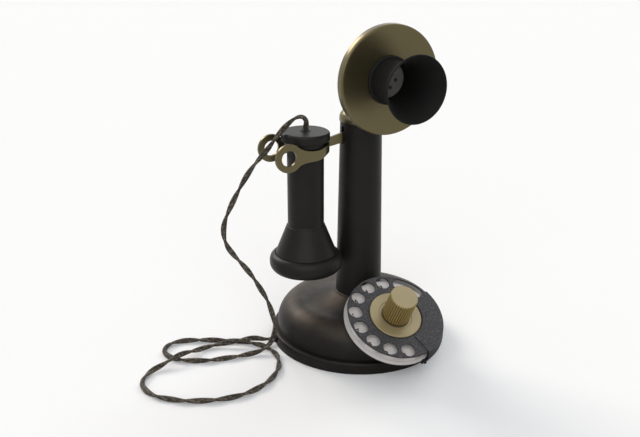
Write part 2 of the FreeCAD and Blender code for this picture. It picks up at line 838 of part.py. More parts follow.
def magnet_clamp():
    """The cross bar that holds the magnet inside the grip."""
    reach = receiver_radius - receiver_wall - seat_gap
    low = receiver_flare_top + clamp_rise
    high = low + clamp_height
    bar = block(Vector(-reach, -clamp_width / 2, low), Vector(reach, clamp_width / 2, high))
    bar = bar.common(tube(reach, 0, low - overrun, high + overrun))
    outer = magnet_gap + magnet_width + fit_gap
    inner = magnet_gap - fit_gap
    half = magnet_width + fit_gap
    for near, far in ((-outer, -inner), (inner, outer)):
        bar = bar.cut(block(Vector(near, -half, low - overrun), Vector(far, half, high + overrun)))
    return bar


def pole_coils():
    bottom = disc_seat + coil_seat
    coils = []
    for side in (-1, 1):
        centre = Vector(side * (magnet_gap + magnet_width / 2), 0, bottom)
        coils.append(Part.makeCylinder(coil_radius, coil_height, centre))
    return coils


def hook_side():
    """The hook's outline from the side, which the bent strip is trimmed to."""
    seat = collar_bottom - seat_gap
    step = prong_height / 2
    ring_top = at(ring_centre_x + 0.65 * ring_radius, ring_centre_z + 0.74 * ring_radius)
    ring_low = at(ring_top.x, ring_centre_z - 0.74 * ring_radius)
    arm_x = -stem_top_radius
    boss_top = at(pivot_x, pivot_z + hook_boss_radius)
    boss_low = at(pivot_x, pivot_z - hook_boss_radius)
    upper = curve(ring_top, at(-receiver_reach - 2 * step, seat + 0.25 * step),
                  at(-receiver_reach - step, seat), at(-receiver_reach + step, seat),
                  at(-receiver_reach + 2 * step, seat + 0.3 * step),
                  at(-receiver_reach + bend_radius, seat + 0.68 * step),
                  at(arm_x, pivot_z + arm_half_height), boss_top)
    lower = curve(ring_low, at(-receiver_reach - 2 * step, seat - prong_root_height),
                  at(-receiver_reach - 0.4 * step, seat - prong_height),
                  at(-receiver_reach + 1.1 * step, seat - 0.84 * prong_root_height),
                  at(-receiver_reach + 2.3 * step, seat - 0.61 * prong_root_height),
                  at(-receiver_reach + bend_radius + step, seat - 0.38 * prong_root_height),
                  at(arm_x, pivot_z - arm_half_height), boss_low)
    outline = Part.Face(Part.Wire(Part.__sortEdges__([
        upper, line(boss_top, boss_low), lower, line(ring_low, ring_top)])))
    width = 2 * (bend_radius + strip_thickness + overrun)
    body = outline.extrude(Vector(0, width, 0))
    body.translate(Vector(0, -width / 2, 0))
    ring_start = Vector(ring_centre_x, -width / 2, ring_centre_z)
    ring = Part.makeCylinder(ring_radius, width, ring_start, Vector(0, 1, 0))
    return joined([body, ring])


def fork_outline(radius, reach, far, low, high):
    """A tongue with a round end about the receiver's axis and straight sides."""
    meet = -receiver_reach + math.sqrt(radius ** 2 - reach ** 2)
    tongue = block(Vector(far, -reach, low), Vector(meet, reach, high))
    disc = Part.makeCylinder(radius, high - low, Vector(-receiver_reach, 0, low))
    disc = disc.common(block(Vector(meet - fit_gap, -radius, low), Vector(0, radius, high)))
    return joined([tongue, disc])


def hook_plan():
    """The strip seen from above: one arm that splits into two prongs round the receiver."""
    low = ring_centre_z - 2 * ring_radius
    high = ring_centre_z + 2 * ring_radius
    far = ring_centre_x - ring_radius - overrun
    outer = fork_outline(bend_radius + strip_thickness, prong_reach + strip_thickness, far, low, high)
    inner = fork_outline(bend_radius, prong_reach, far - overrun, low - overrun, high + overrun)
    arm = block(Vector(-receiver_reach + bend_radius + seat_gap, -strip_thickness / 2, low),
                Vector(pivot_x, strip_thickness / 2, high))
    return joined([outer.cut(inner), arm])


def hook_lever():
    strip = hook_plan().common(hook_side())
    half = cheek_inner - seat_gap
    boss = rod(hook_boss_radius, Vector(pivot_x, -half, pivot_z), Vector(pivot_x, half, pivot_z))
    tail = block(Vector(pivot_x - tail_width / 2, -strip_thickness / 2, tail_end),
                 Vector(pivot_x + tail_width / 2, strip_thickness / 2, pivot_z))
    lever = joined([strip, boss, tail])
    width = bend_radius + strip_thickness + overrun
    for radius, x, z in ((ring_hole_radius, ring_centre_x, ring_centre_z),
                         (pivot_pin_radius + fit_gap, pivot_x, pivot_z)):
        lever = lever.cut(rod(radius, Vector(x, -width, z), Vector(x, width, z)))
    groove = rod(roller_pin_radius, Vector(pivot_x, -width, roller_z), Vector(pivot_x, width, roller_z))
    return lever.cut(groove)


def hook_roller():
    """The insulating bobbin at the lever's tail that works the contact springs."""
    half = Vector(0, strip_thickness / 2 + fit_gap, 0)
    far = Vector(0, roller_length / 2, 0)
    middle = at(pivot_x, roller_z)
    pin = rod(roller_pin_radius - fit_gap, middle - far, middle + far)
    left = rod(roller_radius, middle - far, middle - half)
    right = rod(roller_radius, middle + half, middle + far)
    return joined([pin, left, right])


def switch_frame():
    """The upright inside the stem that carries the hook's pin and the contact springs."""
    half = frame_plate_width / 2
    back = frame_plate_x + frame_plate_thickness
    plate = block(Vector(frame_plate_x, -half, frame_bottom), Vector(back, half, frame_top))
    pieces = [plate]
    for side in (-1, 1):
        near = side * cheek_inner
        far = side * (cheek_inner + cheek_thickness)
        pieces.append(block(Vector(pivot_x - cheek_reach, min(near, far), pivot_z - cheek_drop),
                            Vector(frame_plate_x, max(near, far), frame_top)))
    side = foot_half_width
    for height in (frame_bottom + lower_foot_rise, frame_top - upper_foot_drop):
        wall = stem_radius(height) - stem_wall
        foot = block(Vector(back, -side, height - side), Vector(wall, side, height + side))
        pieces.append(foot.common(tube(wall - seat_gap, 0, height - 2 * side, height + 2 * side)))
    reach = Vector(0, cheek_inner + cheek_thickness + overrun, 0)
    pivot = at(pivot_x, pivot_z)
    return joined(pieces).cut(rod(pivot_pin_radius + fit_gap, pivot - reach, pivot + reach))


def hook_pin():
    reach = cheek_inner + cheek_thickness
    return rod(pivot_pin_radius, Vector(pivot_x, -reach, pivot_z), Vector(pivot_x, reach, pivot_z))


def leaf_x(number):
    """Front face of a contact spring, counted back from the roller."""
    return pivot_x + roller_radius + seat_gap + leaf_pitch * number


def contact_leaves():
    half = leaf_width / 2
    low = pile_bottom - leaf_tail
    return [block(Vector(leaf_x(n), -half, low),
                  Vector(leaf_x(n) + leaf_thickness, half, leaf_top - leaf_step * n))
            for n in range(leaf_count)]


def leaf_insulators():
    half = leaf_width / 2 + pile_margin
    spacers = []
    for number in range(leaf_count):
        near = leaf_x(number) + leaf_thickness
        far = leaf_x(number + 1) if number + 1 < leaf_count else frame_plate_x
        corner = Vector(far, half, pile_bottom + pile_height)
        spacers.append(block(Vector(near, -half, pile_bottom), corner))
    return spacers


def finger_wheel():
    """The wheel: eight round finger holes and one long slot that stands for two more."""
    wheel = tube(wheel_radius, shaft_radius + fit_gap, -wheel_thickness, 0)
    rims = [e for e in wheel.Edges if abs(e.Length - 2 * math.pi * wheel_radius) < fit_gap]
    wheel = wheel.makeFillet(wheel_thickness * 0.4, rims)
    depth = wheel_thickness + 2 * overrun
    for number in range(finger_hole_count):
        centre = on_circle(finger_ring, finger_first + finger_pitch * number, -wheel_thickness - overrun)
        wheel = wheel.cut(Part.makeCylinder(finger_hole_radius, depth, centre))
    last = finger_first - finger_pitch
    first = last - finger_pitch * kidney_pitches
    kidney = ring_slot(finger_ring, finger_hole_radius, first, last, -wheel_thickness - overrun, overrun)
    return wheel.cut(kidney)


def ring_slot(ring, half_width, first, last, bottom, top):
    """A slot with round ends along a circle, from one angle to another."""
    height = top - bottom
    sweep = tube(ring + half_width, ring - half_width, bottom, top)
    sweep = sweep.common(wedge(ring + 2 * half_width, first, last, bottom, top))
    ends = [Part.makeCylinder(half_width, height, on_circle(ring, angle, bottom))
            for angle in (first, last)]
    return joined([sweep] + ends)


def wedge(radius, first, last, bottom, top):
    """A slice of a cylinder between two angles less than a half turn apart."""
    rim_middle = on_circle(radius, (first + last) / 2, bottom)
    centre = Vector(0, 0, bottom)
    start, end = on_circle(radius, first, bottom), on_circle(radius, last, bottom)
    face = Part.Face(Part.Wire([line(centre, start), arc(start, rim_middle, end), line(end, centre)]))
    return face.extrude(Vector(0, 0, top - bottom))


def centre_disc():
    """The brass disc in the wheel, dished towards a step round the knob."""
    return spin(*polyline(
        at(shaft_radius + fit_gap, 0), at(centre_radius, 0),
        at(centre_radius, centre_rise - disc_chamfer), at(centre_radius - disc_chamfer, centre_rise),
        at(centre_step_radius + edge_break, centre_rise * 0.75),
        at(centre_step_radius, centre_rise * 0.4), at(shaft_radius + fit_gap, centre_rise * 0.4),
        at(shaft_radius + fit_gap, 0)))


def dial_knob():
    """The knurled knob, with flutes cut all round its side."""
    bottom = centre_rise * 0.4
    knob = spin(*polyline(
        at(0, bottom), at(knob_foot_radius, bottom), at(knob_foot_radius, knob_foot),
        at(knob_radius - edge_break, knob_foot), at(knob_radius, knob_foot + edge_break),
        at(knob_radius, knob_top - knob_chamfer), at(knob_radius - knob_chamfer, knob_top),
        at(0, knob_top), at(0, bottom)))
    flutes = []
    for number in range(knob_flutes):
        foot = on_circle(knob_radius + knob_flute_offset, 360 / knob_flutes * number,
                         knob_foot - edge_break)
        flutes.append(Part.makeCylinder(knob_flute_radius, knob_top - knob_chamfer - knob_foot, foot))
    knob = knob.cut(Part.makeCompound(flutes))
    depth = shaft_reach() + fit_gap - bottom + overrun
    return knob.cut(Part.makeCylinder(shaft_radius + fit_gap, depth, Vector(0, 0, bottom - overrun)))


def shaft_reach():
    """How far the dial's shaft stands up inside the knob."""
    return knob_top * 0.6


def dial_shaft():
    """One shaft from the knob down to the mechanism's lower plate."""
    flange_top = -wheel_thickness
    flange_low = flange_top - shaft_flange_thickness
    low = mechanism_low() - mechanism_plate_thickness
    return spin(*polyline(
        at(0, low), at(shaft_radius, low), at(shaft_radius, flange_low),
        at(shaft_flange_radius, flange_low), at(shaft_flange_radius, flange_top),
        at(shaft_radius, flange_top), at(shaft_radius, shaft_reach()), at(0, shaft_reach()), at(0, low)))


def number_plate():
    """The ring under the finger holes."""
    top, bottom = plate_ring_top, plate_ring_bottom
    corner = at(plate_ring_radius - plate_ring_corner, top - plate_ring_corner)
    return spin(
        *polyline(at(plate_ring_inner, bottom), at(plate_ring_radius - edge_break, bottom),
                  at(plate_ring_radius, bottom + edge_break), at(plate_ring_radius, corner.z)),
        arc_about(corner, at(plate_ring_radius, corner.z), at(corner.x, top)),
        *polyline(at(corner.x, top), at(plate_ring_inner + seat_gap, top),
                  at(plate_ring_inner, top - seat_gap), at(plate_ring_inner, bottom)),
    )


def housing_outline(clearance):
    """The tapered outer form of the dial housing, drawn longer both ways, to cut its opening."""
    extra = 2 * shell_wall
    slope = (housing_foot_radius - housing_radius) / (housing_depth - housing_top_wall)
    upper = housing_top - housing_top_wall
    foot_radius = housing_foot_radius + slope * extra
    return spin(*polyline(
        at(0, housing_bottom - extra), at(foot_radius + clearance, housing_bottom - extra),
        at(housing_radius + clearance, upper), at(housing_radius + clearance, housing_top + extra),
        at(0, housing_top + extra), at(0, housing_bottom - extra)))


def dial_housing():
    """The black cup that joins the dial to the base and holds its mechanism."""
    upper = housing_top - housing_top_wall
    hub_top = plate_ring_top - hub_step
    inner = housing_radius - housing_wall
    body = spin(*polyline(
        at(shaft_radius + fit_gap, upper), at(inner, upper),
        at(housing_foot_radius - housing_wall, housing_bottom), at(housing_foot_radius, housing_bottom),
        at(housing_radius, upper), at(housing_flange_radius, upper),
        at(housing_flange_radius, housing_top), at(plate_ring_inner - fit_gap, housing_top),
        at(plate_ring_inner - fit_gap, hub_top), at(shaft_radius + fit_gap, hub_top),
        at(shaft_radius + fit_gap, upper)))
    arbor = train_centre()
    governor = governor_centre()
    for centre in (arbor, governor):
        foot = Vector(centre.x, centre.y, upper - overrun)
        hole = Part.makeCylinder(arbor_radius + fit_gap, arbor_bearing + overrun, foot)
        body = body.cut(hole)
    return body


def guard_section():
    """The guard's section: a thin deck over the wheel and a skirt that flares down round the plate."""
    wheel_side = wheel_radius + seat_gap
    top_edge = at(wheel_side + guard_sheet, 0)
    shoulder = at(top_edge.x - guard_shoulder, guard_rise)
    shoulder_mid = at(top_edge.x - guard_shoulder * 0.3, guard_rise * 0.75)
    skirt = at(guard_skirt_radius, guard_skirt_height)
    low = housing_top - housing_top_wall
    foot = at(guard_skirt_radius - guard_sheet, low)
    seat = housing_flange_radius + fit_gap
    plate_side = plate_ring_radius + seat_gap
    return spin(
        *polyline(at(guard_inner, seat_gap), at(guard_inner, guard_rise), shoulder),
        arc(shoulder, shoulder_mid, top_edge),
        *polyline(top_edge, skirt, foot, at(seat, low), at(seat, housing_top), at(plate_side, housing_top),
                  at(plate_side, guard_skirt_height), at(wheel_side, -wheel_thickness - seat_gap),
                  at(wheel_side, -edge_break), at(wheel_side - edge_break, seat_gap),
                  at(guard_inner, seat_gap)),
    )


def above_plane(first, second, third):
    """A thick slab on the upper side of the plane through three points."""
    depth = 1.4 * wheel_radius
    along = (second - first).normalize()
    normal = along.cross(third - second).normalize()
    if normal.z < 0:
        normal = normal * -1
    across = normal.cross(along) * depth
    ends = [first - along * depth, first + along * 2 * depth]
    corners = [ends[0] - across, ends[0] + across, ends[1] + across, ends[1] - across, ends[0] - across]
    return Part.Face(Part.Wire(polyline(*corners))).extrude(normal * depth)


def dial_guard():
    """The raised sector over the wheel's blank side, whose sloping lower end stops the finger."""
    section = guard_section()
    low = housing_top - housing_top_wall - overrun
    reach = guard_skirt_radius * 1.2
    guard = section.common(wedge(reach, guard_start, guard_end, low, guard_rise + overrun))
    tab = section.common(wedge(reach, guard_start - guard_tab, guard_start, low, guard_skirt_height))
    edge = seat_gap + guard_edge
    rim = wheel_radius
    lower = above_plane(on_circle(guard_inner, guard_start + guard_ramp_skew, edge),
                        on_circle(rim, guard_start, edge),
                        on_circle(rim, guard_start + guard_lower_ramp, guard_rise))
    upper = above_plane(on_circle(guard_inner, guard_end, edge), on_circle(rim, guard_end, edge),
                        on_circle(rim, guard_end - guard_upper_ramp, guard_rise))
    guard = joined([guard.cut(lower).cut(upper), tab])
    start, end = stop_screw_line()
    along = (end - start).normalize()
    return guard.cut(rod(stop_screw_radius + fit_gap, start - along * fit_gap, end))


def stop_screw_line():
    """The two ends of the screw in the guard's tab."""
    angle = guard_start - guard_tab / 2
    height = (guard_skirt_height + housing_top - housing_top_wall) / 2
    start = on_circle(plate_ring_radius + seat_gap + fit_gap, angle, height)
    return start, on_circle(guard_skirt_radius + stop_screw_reach, angle, height)


def stop_screw():
    """The small screw that holds the guard at its lower corner."""
    return rod(stop_screw_radius, *stop_screw_line())


def mechanism_low():
    """Height of the lower mechanism plate's top face, in the dial's frame."""
    return housing_bottom + mechanism_plate_thickness


def train_centre():
    distance = tooth_module * (main_teeth + pinion_teeth) / 2
    return on_circle(distance, train_turn)


def governor_centre():
    distance = fine_module * (second_teeth + governor_teeth) / 2
    return train_centre() + on_circle(distance, governor_turn)


def gear(teeth, module, bottom, top, turn=0.0):
    """A spur gear with short involute teeth; turn points one tooth that way."""
    pitch = module * teeth / 2
    base = pitch * math.cos(math.radians(20))
    tip = pitch + 0.8 * module
    root = pitch - 1.05 * module
    half_tooth = (math.pi * module / 2 - gear_backlash) / 2 / pitch

    def roll(radius):
        """Involute angle at a radius."""
        if radius <= base:
            return 0.0
        tangent = math.sqrt((radius / base) ** 2 - 1)
        return tangent - math.atan(tangent)

    points = []
    for number in range(teeth):
        middle = math.radians(turn) + 2 * math.pi * number / teeth
        flank = []
        for step in range(4):
            radius = max(root, base) + (tip - max(root, base)) * step / 3
            flank.append((radius, half_tooth + roll(pitch) - roll(radius)))
        if root < base:
            flank.insert(0, (root, flank[0][1]))
        rising = [(radius, middle - angle) for radius, angle in flank]
        falling = [(radius, middle + angle) for radius, angle in reversed(flank)]
        points += [Vector(r * math.cos(a), r * math.sin(a), bottom) for r, a in rising + falling]
    outline = Part.Face(Part.Wire(polyline(*points, points[0])))
    return outline.extrude(Vector(0, 0, top - bottom))


def gear_levels():
    """Heights of the two gear planes, main and second, in the dial's frame."""
    main = housing_top - housing_top_wall - train_gap
    second = main - gear_thickness - train_gap
    return main, second


def main_gear():
    level = gear_levels()[0]
    wheel = gear(main_teeth, tooth_module, level - gear_thickness, level, train_turn)
    foot = Vector(0, 0, level - 2 * gear_thickness)
    return wheel.cut(Part.makeCylinder(shaft_radius + fit_gap, 3 * gear_thickness, foot))


def mainspring():
    """The flat coiled spring below the main gear, wound on the shaft."""
    level = gear_levels()[1]
    low = level - spring_width
    start = shaft_radius + seat_gap
    rings = [start + spring_pitch * n for n in range(spring_turns)]
    bands = [tube(ring + spring_thickness, ring, low, level) for ring in rings]
    bridge = block(Vector(start, -spring_thickness, low), Vector(rings[-1], spring_thickness, level))
    return joined(bands + [bridge])


def second_arbor():
    """The pinion that the main gear drives, and the wheel on its arbor."""
    main, second = gear_levels()
    facing = train_turn + 180 + 180 / pinion_teeth
    pinion = gear(pinion_teeth, tooth_module, main - gear_thickness, main, facing)
    wheel = gear(second_teeth, fine_module, second - gear_thickness, second, governor_turn)
    top = housing_top - housing_top_wall + arbor_bearing - fit_gap
    arbor = tube(arbor_radius, 0, mechanism_low() - mechanism_plate_thickness, top)
    collar = tube(arbor_radius + arbor_collar, 0, second - gear_thickness, main)
    solid = joined([pinion, wheel, arbor, collar])
    centre = train_centre()
    solid.translate(Vector(centre.x, centre.y, 0))
    return solid


def governor():
    """The fast arbor with the drum that holds the speed steady."""
    second = gear_levels()[1]
    facing = governor_turn + 180 + 180 / governor_teeth
    pinion = gear(governor_teeth, fine_module, second - gear_thickness, second, facing)
    top = housing_top - housing_top_wall + arbor_bearing - fit_gap
    arbor = tube(arbor_radius, 0, mechanism_low() - mechanism_plate_thickness, top)
    drum_top = second - gear_thickness - train_gap
    drum = tube(governor_drum_radius, 0, drum_top - governor_drum_height, drum_top)
    solid = joined([pinion, arbor, drum])
    centre = governor_centre()
    solid.translate(Vector(centre.x, centre.y, 0))
    return solid


def mechanism_plate():
    """The lower plate, with the bearings of the shaft and both arbors."""
    top = mechanism_low()
    plate = tube(housing_foot_radius - housing_wall - seat_gap, 0, top - mechanism_plate_thickness, top)
    centres = [(Vector(0, 0, 0), shaft_radius), (train_centre(), arbor_radius),
               (governor_centre(), arbor_radius)]
    for centre, radius in centres:
        start = Vector(centre.x, centre.y, top - mechanism_plate_thickness - overrun)
        hole = Part.makeCylinder(radius + fit_gap, mechanism_plate_thickness + 2 * overrun, start)
        plate = plate.cut(hole)
    return plate


def terminal_block():
    half = Vector(block_length / 2, block_width / 2, 0)
    middle = Vector(0, block_y, plate_top)
    return block(middle - half, middle + half + Vector(0, 0, block_height))


def terminal_screws():
    screws = []
    for number in range(terminal_count):
        x = (number - (terminal_count - 1) / 2) * block_length / terminal_count
        foot = Vector(x, block_y, plate_top + block_height)
        screws.append(Part.makeCylinder(terminal_radius, terminal_head, foot))
    return screws


def cord_grommet():
    """The bush in the rim where the cord goes into the base."""
    inside = base_radius - shell_wall
    bore = cord_radius + cord_play
    neck = grommet_flange_radius - grommet_step - fit_gap
    outer = base_radius + grommet_flange
    bush = spin(*polyline(
        at(bore, inside), at(neck, inside), at(neck, base_radius), at(grommet_flange_radius, base_radius),
        at(grommet_flange_radius - edge_break, outer), at(bore, outer), at(bore, inside)))
    turn = Rotation(Vector(0, 0, 1), grommet_angle).multiply(Rotation(Vector(0, 1, 0), 90))
    return placed(bush, Placement(Vector(0, 0, grommet_height), turn))


def cord_points():
    """The cord's route, chosen by hand: over the receiver, down, two loose loops, into the base."""
    floor = cord_radius
    over = floor + 2 * cord_radius + cord_pass
    top = cap_disc_top + nut_rise
    hang = [(-54, 0, top - cord_grip), (-54, 0, top + 1.8), (-52.6, 0, top + 7.2), (-55.8, 0, top + 11.8),
            (-62.0, 0.1, top + 12.2), (-70.0, 0.3, 211.4), (-79.0, 0.6, 203.0), (-89.0, 0.9, 191.0),
            (-102.5, 1.2, 178.5), (-113.5, 1.4, 163.0), (-122.5, 1.5, 147.5), (-130.5, 1.6, 131.5),
            (-130.0, 1.7, 114.5), (-120.5, 1.9, 99.5), (-109.5, 2.2, 85.5), (-100.5, 2.4, 70.0),
            (-91.5, 2.7, 53.0), (-86.0, 2.8, 36.0)]
    out = [(-84.2, 2.6, 20.0), (-88.5, 1.5, 10.0), (-97.5, 1.0, floor + 1.4), (-110.5, 2.4, floor),
           (-128.0, 4.6, floor), (-144.0, 7.5, floor), (-160.0, 14.0, floor), (-174.5, 25.5, floor),
           (-178.5, 41.5, floor), (-168.5, 54.5, floor), (-151.0, 53.0, floor), (-132.0, 43.5, floor),
           (-113.5, 33.0, floor), (-98.5, 20.5, floor), (-88.6, 4.5, floor), (-88.6, -15.5, floor)]
    back = [(-98.2, -35.6, floor), (-117.5, -52.0, floor), (-143.0, -59.5, floor), (-170.5, -54.2, floor),
            (-194.0, -41.5, floor), (-210.5, -23.0, floor), (-212.0, -2.0, floor), (-199.5, 13.0, floor),
            (-186.0, 16.5, floor + 1.8), (-176.0, 17.6, over), (-165.5, 21.6, over),
            (-154.0, 27.0, floor + 1.9), (-139.5, 32.2, floor), (-127.0, 30.8, floor + 0.9),
            (-116.5, 25.6, floor + 3.1), (-106.0, 21.6, over), (-96.2, 18.9, over)]
    last = on_circle(base_radius + grommet_flange + cord_lead, grommet_angle, grommet_height)
    end = on_circle(base_radius - shell_wall + cord_tail, grommet_angle, grommet_height)
    return [Vector(*point) for point in hang], [Vector(*point) for point in out + back] + [last, end]


def cords():
    """The hanging and the lying part of the cord, as tubes of straight runs and tangent arcs."""
    hanging, lying = cord_points()
    points = hanging + lying
    edges = []
    radii = []
    start = points[0]
    for before, corner, after in zip(points, points[1:], points[2:]):
        back = before - corner
        ahead = after - corner
        run = 0.45 * min(back.Length, ahead.Length)
        turn = math.pi - back.getAngle(ahead)
        radii.append(run / math.tan(turn / 2))
        first = corner + back.normalize() * run
        last = corner + ahead.normalize() * run
        depth = radii[-1] / math.cos(turn / 2) - radii[-1]
        inward = ((first + last) * 0.5 - corner).normalize()
        edges += [line(start, first), arc(first, corner + inward * depth, last)]
        start = last
    edges.append(line(start, points[-1]))
    parting_run = 2 * (len(hanging) - 1)
    parting = edges[parting_run]
    middle = parting.CenterOfMass
    upper = edges[:parting_run] + [line(parting.Vertexes[0].Point, middle)]
    lower = [line(middle, parting.Vertexes[-1].Point)] + edges[parting_run + 1:]
    print("cord's tightest bends %s mm" % [round(radius, 1) for radius in sorted(radii)[:6]])
    return cord_tube(upper, points[1] - points[0]), cord_tube(lower, lying[0] - hanging[-1])


def cord_tube(edges, direction):
    path = Part.Wire(edges)
    start = edges[0].Vertexes[0].Point
    section = Part.Wire([Part.Circle(start, direction, cord_radius).toShape()])
    solid = path.makePipeShell([section], True, False)
    share = solid.Volume / (math.pi * cord_radius ** 2 * path.Length)
    print("cord part of %.0f mm, its volume %.4f of section times length" % (path.Length, share))
    return solid


def write_parts():
    os.makedirs("parts", exist_ok=True)
    save("base_shell", base_shell())
    save("stem_foot_ring", stem_foot_ring())
    save("base_plate", base_plate())
    save("foot_pad", foot_pad())
    save("plate_screws", *plate_screws())
    save("stem_tube", stem_tube())
    save("stem_nut", stem_nut())
    save("stem_cap", stem_cap())
    save("tilt_screw", tilt_screw())
    save("tilt_nut", tilt_nut())
    save("terminal_block", terminal_block())
    save("terminal_screws", *terminal_screws())
    save("cord_grommet", cord_grommet())
    save("switch_frame", switch_frame())
    save("hook_pin", hook_pin())
    save("contact_leaves", *contact_leaves())
    save("leaf_insulators", *leaf_insulators())
    save("hook_lever", hook_lever())
    save("hook_roller", hook_roller())
    for name, make in (("face_plate", face_plate), ("transmitter_cup", transmitter_cup),
                       ("mouthpiece", mouthpiece), ("mouthpiece_grille", mouthpiece_grille),
                       ("voice_disc", voice_disc), ("carbon_button", carbon_button),
                       ("button_bridge", button_bridge)):
        save(name, placed(make(), mouth_frame))
    save("transmitter_lug", transmitter_lug())
    for name, make in (("receiver_shell", receiver_shell), ("ear_cap", ear_cap), ("sound_disc", sound_disc),
                       ("receiver_cap", receiver_cap), ("cord_nut", cord_nut),
                       ("receiver_magnet", receiver_magnet), ("magnet_clamp", magnet_clamp)):
        save(name, placed(make(), receiver_frame))
    save("pole_coils", *[placed(coil, receiver_frame) for coil in pole_coils()])
    for name, make in (("dial_housing", dial_housing), ("number_plate", number_plate),
                       ("dial_guard", dial_guard), ("stop_screw", stop_screw),
                       ("finger_wheel", finger_wheel), ("centre_disc", centre_disc), ("dial_knob", dial_knob),
                       ("dial_shaft", dial_shaft), ("main_gear", main_gear), ("mainspring", mainspring),
                       ("second_arbor", second_arbor), ("governor", governor),
                       ("mechanism_plate", mechanism_plate)):
        save(name, placed(make(), dial_frame))
    hanging, lying = cords()
    save("cord_hanging", hanging)
    save("cord_lying", lying)


write_parts()
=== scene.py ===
import logging
import math
from dataclasses import dataclass, field
from enum import Enum
from typing import Iterable, Iterator, Sequence

import bmesh
import bpy
from mathutils import Matrix, Vector


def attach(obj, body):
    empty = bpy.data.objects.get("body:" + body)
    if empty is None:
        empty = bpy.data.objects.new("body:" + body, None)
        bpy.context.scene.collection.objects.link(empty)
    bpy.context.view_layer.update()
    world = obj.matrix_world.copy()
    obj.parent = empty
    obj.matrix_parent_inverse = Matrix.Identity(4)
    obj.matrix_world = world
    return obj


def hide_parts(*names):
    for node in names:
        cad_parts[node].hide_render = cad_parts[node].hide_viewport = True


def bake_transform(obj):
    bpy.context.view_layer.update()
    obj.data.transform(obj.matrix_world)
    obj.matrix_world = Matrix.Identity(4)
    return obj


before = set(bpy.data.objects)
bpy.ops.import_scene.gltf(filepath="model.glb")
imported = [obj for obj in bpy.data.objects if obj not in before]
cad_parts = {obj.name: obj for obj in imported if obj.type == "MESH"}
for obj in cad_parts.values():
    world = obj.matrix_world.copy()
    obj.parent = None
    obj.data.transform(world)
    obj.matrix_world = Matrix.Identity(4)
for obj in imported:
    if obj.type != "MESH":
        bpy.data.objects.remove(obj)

# The looks of a desk-stand telephone: satin black metal and hard rubber, dull brass, a
# speckled dial with plain numbers, and a twisted cotton cord. Sizes are in metres, in the CAD
# model's frame. The cord's chosen points are in millimetres, as in the part's source, and a
# pattern's scale is in clouds per metre.

log = logging.getLogger("telephone")

Colour = tuple[float, float, float]
MILLIMETRE = 0.001
FULL_TURN = 2.0 * math.pi
DIAL_CENTRE = Vector((0.0, -0.06614, 0.04721))
DIAL_TILT = math.radians(30.0)
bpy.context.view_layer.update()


class Signal:
    """A shader socket that takes part in Python arithmetic by adding Math nodes."""

    def __init__(self, tree: bpy.types.NodeTree, socket: bpy.types.NodeSocket) -> None:
        """Wrap an output socket that carries one number."""
        self.tree = tree
        self.socket = socket

    def _math(self, operation: str, first: "Signal | float", second: "Signal | float") -> "Signal":
        """Add one Math node.

        Args:
            operation: The Math node's operation.
            first: Its first input.
            second: Its second input.

        Returns:
            The node's result.
        """
        node = self.tree.nodes.new("ShaderNodeMath")
        node.operation = operation
        for slot, value in enumerate((first, second)):
            if isinstance(value, Signal):
                self.tree.links.new(value.socket, node.inputs[slot])
            else:
                node.inputs[slot].default_value = value
        return Signal(self.tree, node.outputs[0])

    def __add__(self, other: "Signal | float") -> "Signal":
        """Sum."""
        return self._math("ADD", self, other)

    def __radd__(self, other: float) -> "Signal":
        """Sum with a number on the left."""
        return self._math("ADD", other, self)

    def __sub__(self, other: "Signal | float") -> "Signal":
        """Difference."""
        return self._math("SUBTRACT", self, other)

    def __rsub__(self, other: float) -> "Signal":
        """Difference from a number on the left."""
        return self._math("SUBTRACT", other, self)

    def __mul__(self, other: "Signal | float") -> "Signal":
        """Product."""
        return self._math("MULTIPLY", self, other)

    def __rmul__(self, other: float) -> "Signal":
        """Product with a number on the left."""
        return self._math("MULTIPLY", other, self)

    def __truediv__(self, other: "Signal | float") -> "Signal":
        """Quotient."""
        return self._math("DIVIDE", self, other)

    def __rtruediv__(self, other: float) -> "Signal":
        """Quotient of a number on the left."""
        return self._math("DIVIDE", other, self)

    def __pow__(self, other: "Signal | float") -> "Signal":
        """Power."""
        return self._math("POWER", self, other)

    def __rpow__(self, other: float) -> "Signal":
        """Power of a number on the left."""
        return self._math("POWER", other, self)

    def sine(self) -> "Signal":
        """Sine of an angle in radians."""
        return self._math("SINE", self, 0.0)

    def cosine(self) -> "Signal":
        """Cosine of an angle in radians."""
        return self._math("COSINE", self, 0.0)

    def angle_from(self, across: "Signal") -> "Signal":
        """The angle, in radians, of a point with this height over that width."""
        return self._math("ARCTAN2", self, across)

    def above(self, level: float) -> "Signal":
        """One where the signal is above the level, and zero elsewhere."""
        return self._math("GREATER_THAN", self, level)

    def clipped(self) -> "Signal":
        """The signal kept between zero and one."""
        return self._math("MAXIMUM", self._math("MINIMUM", self, 1.0), 0.0)


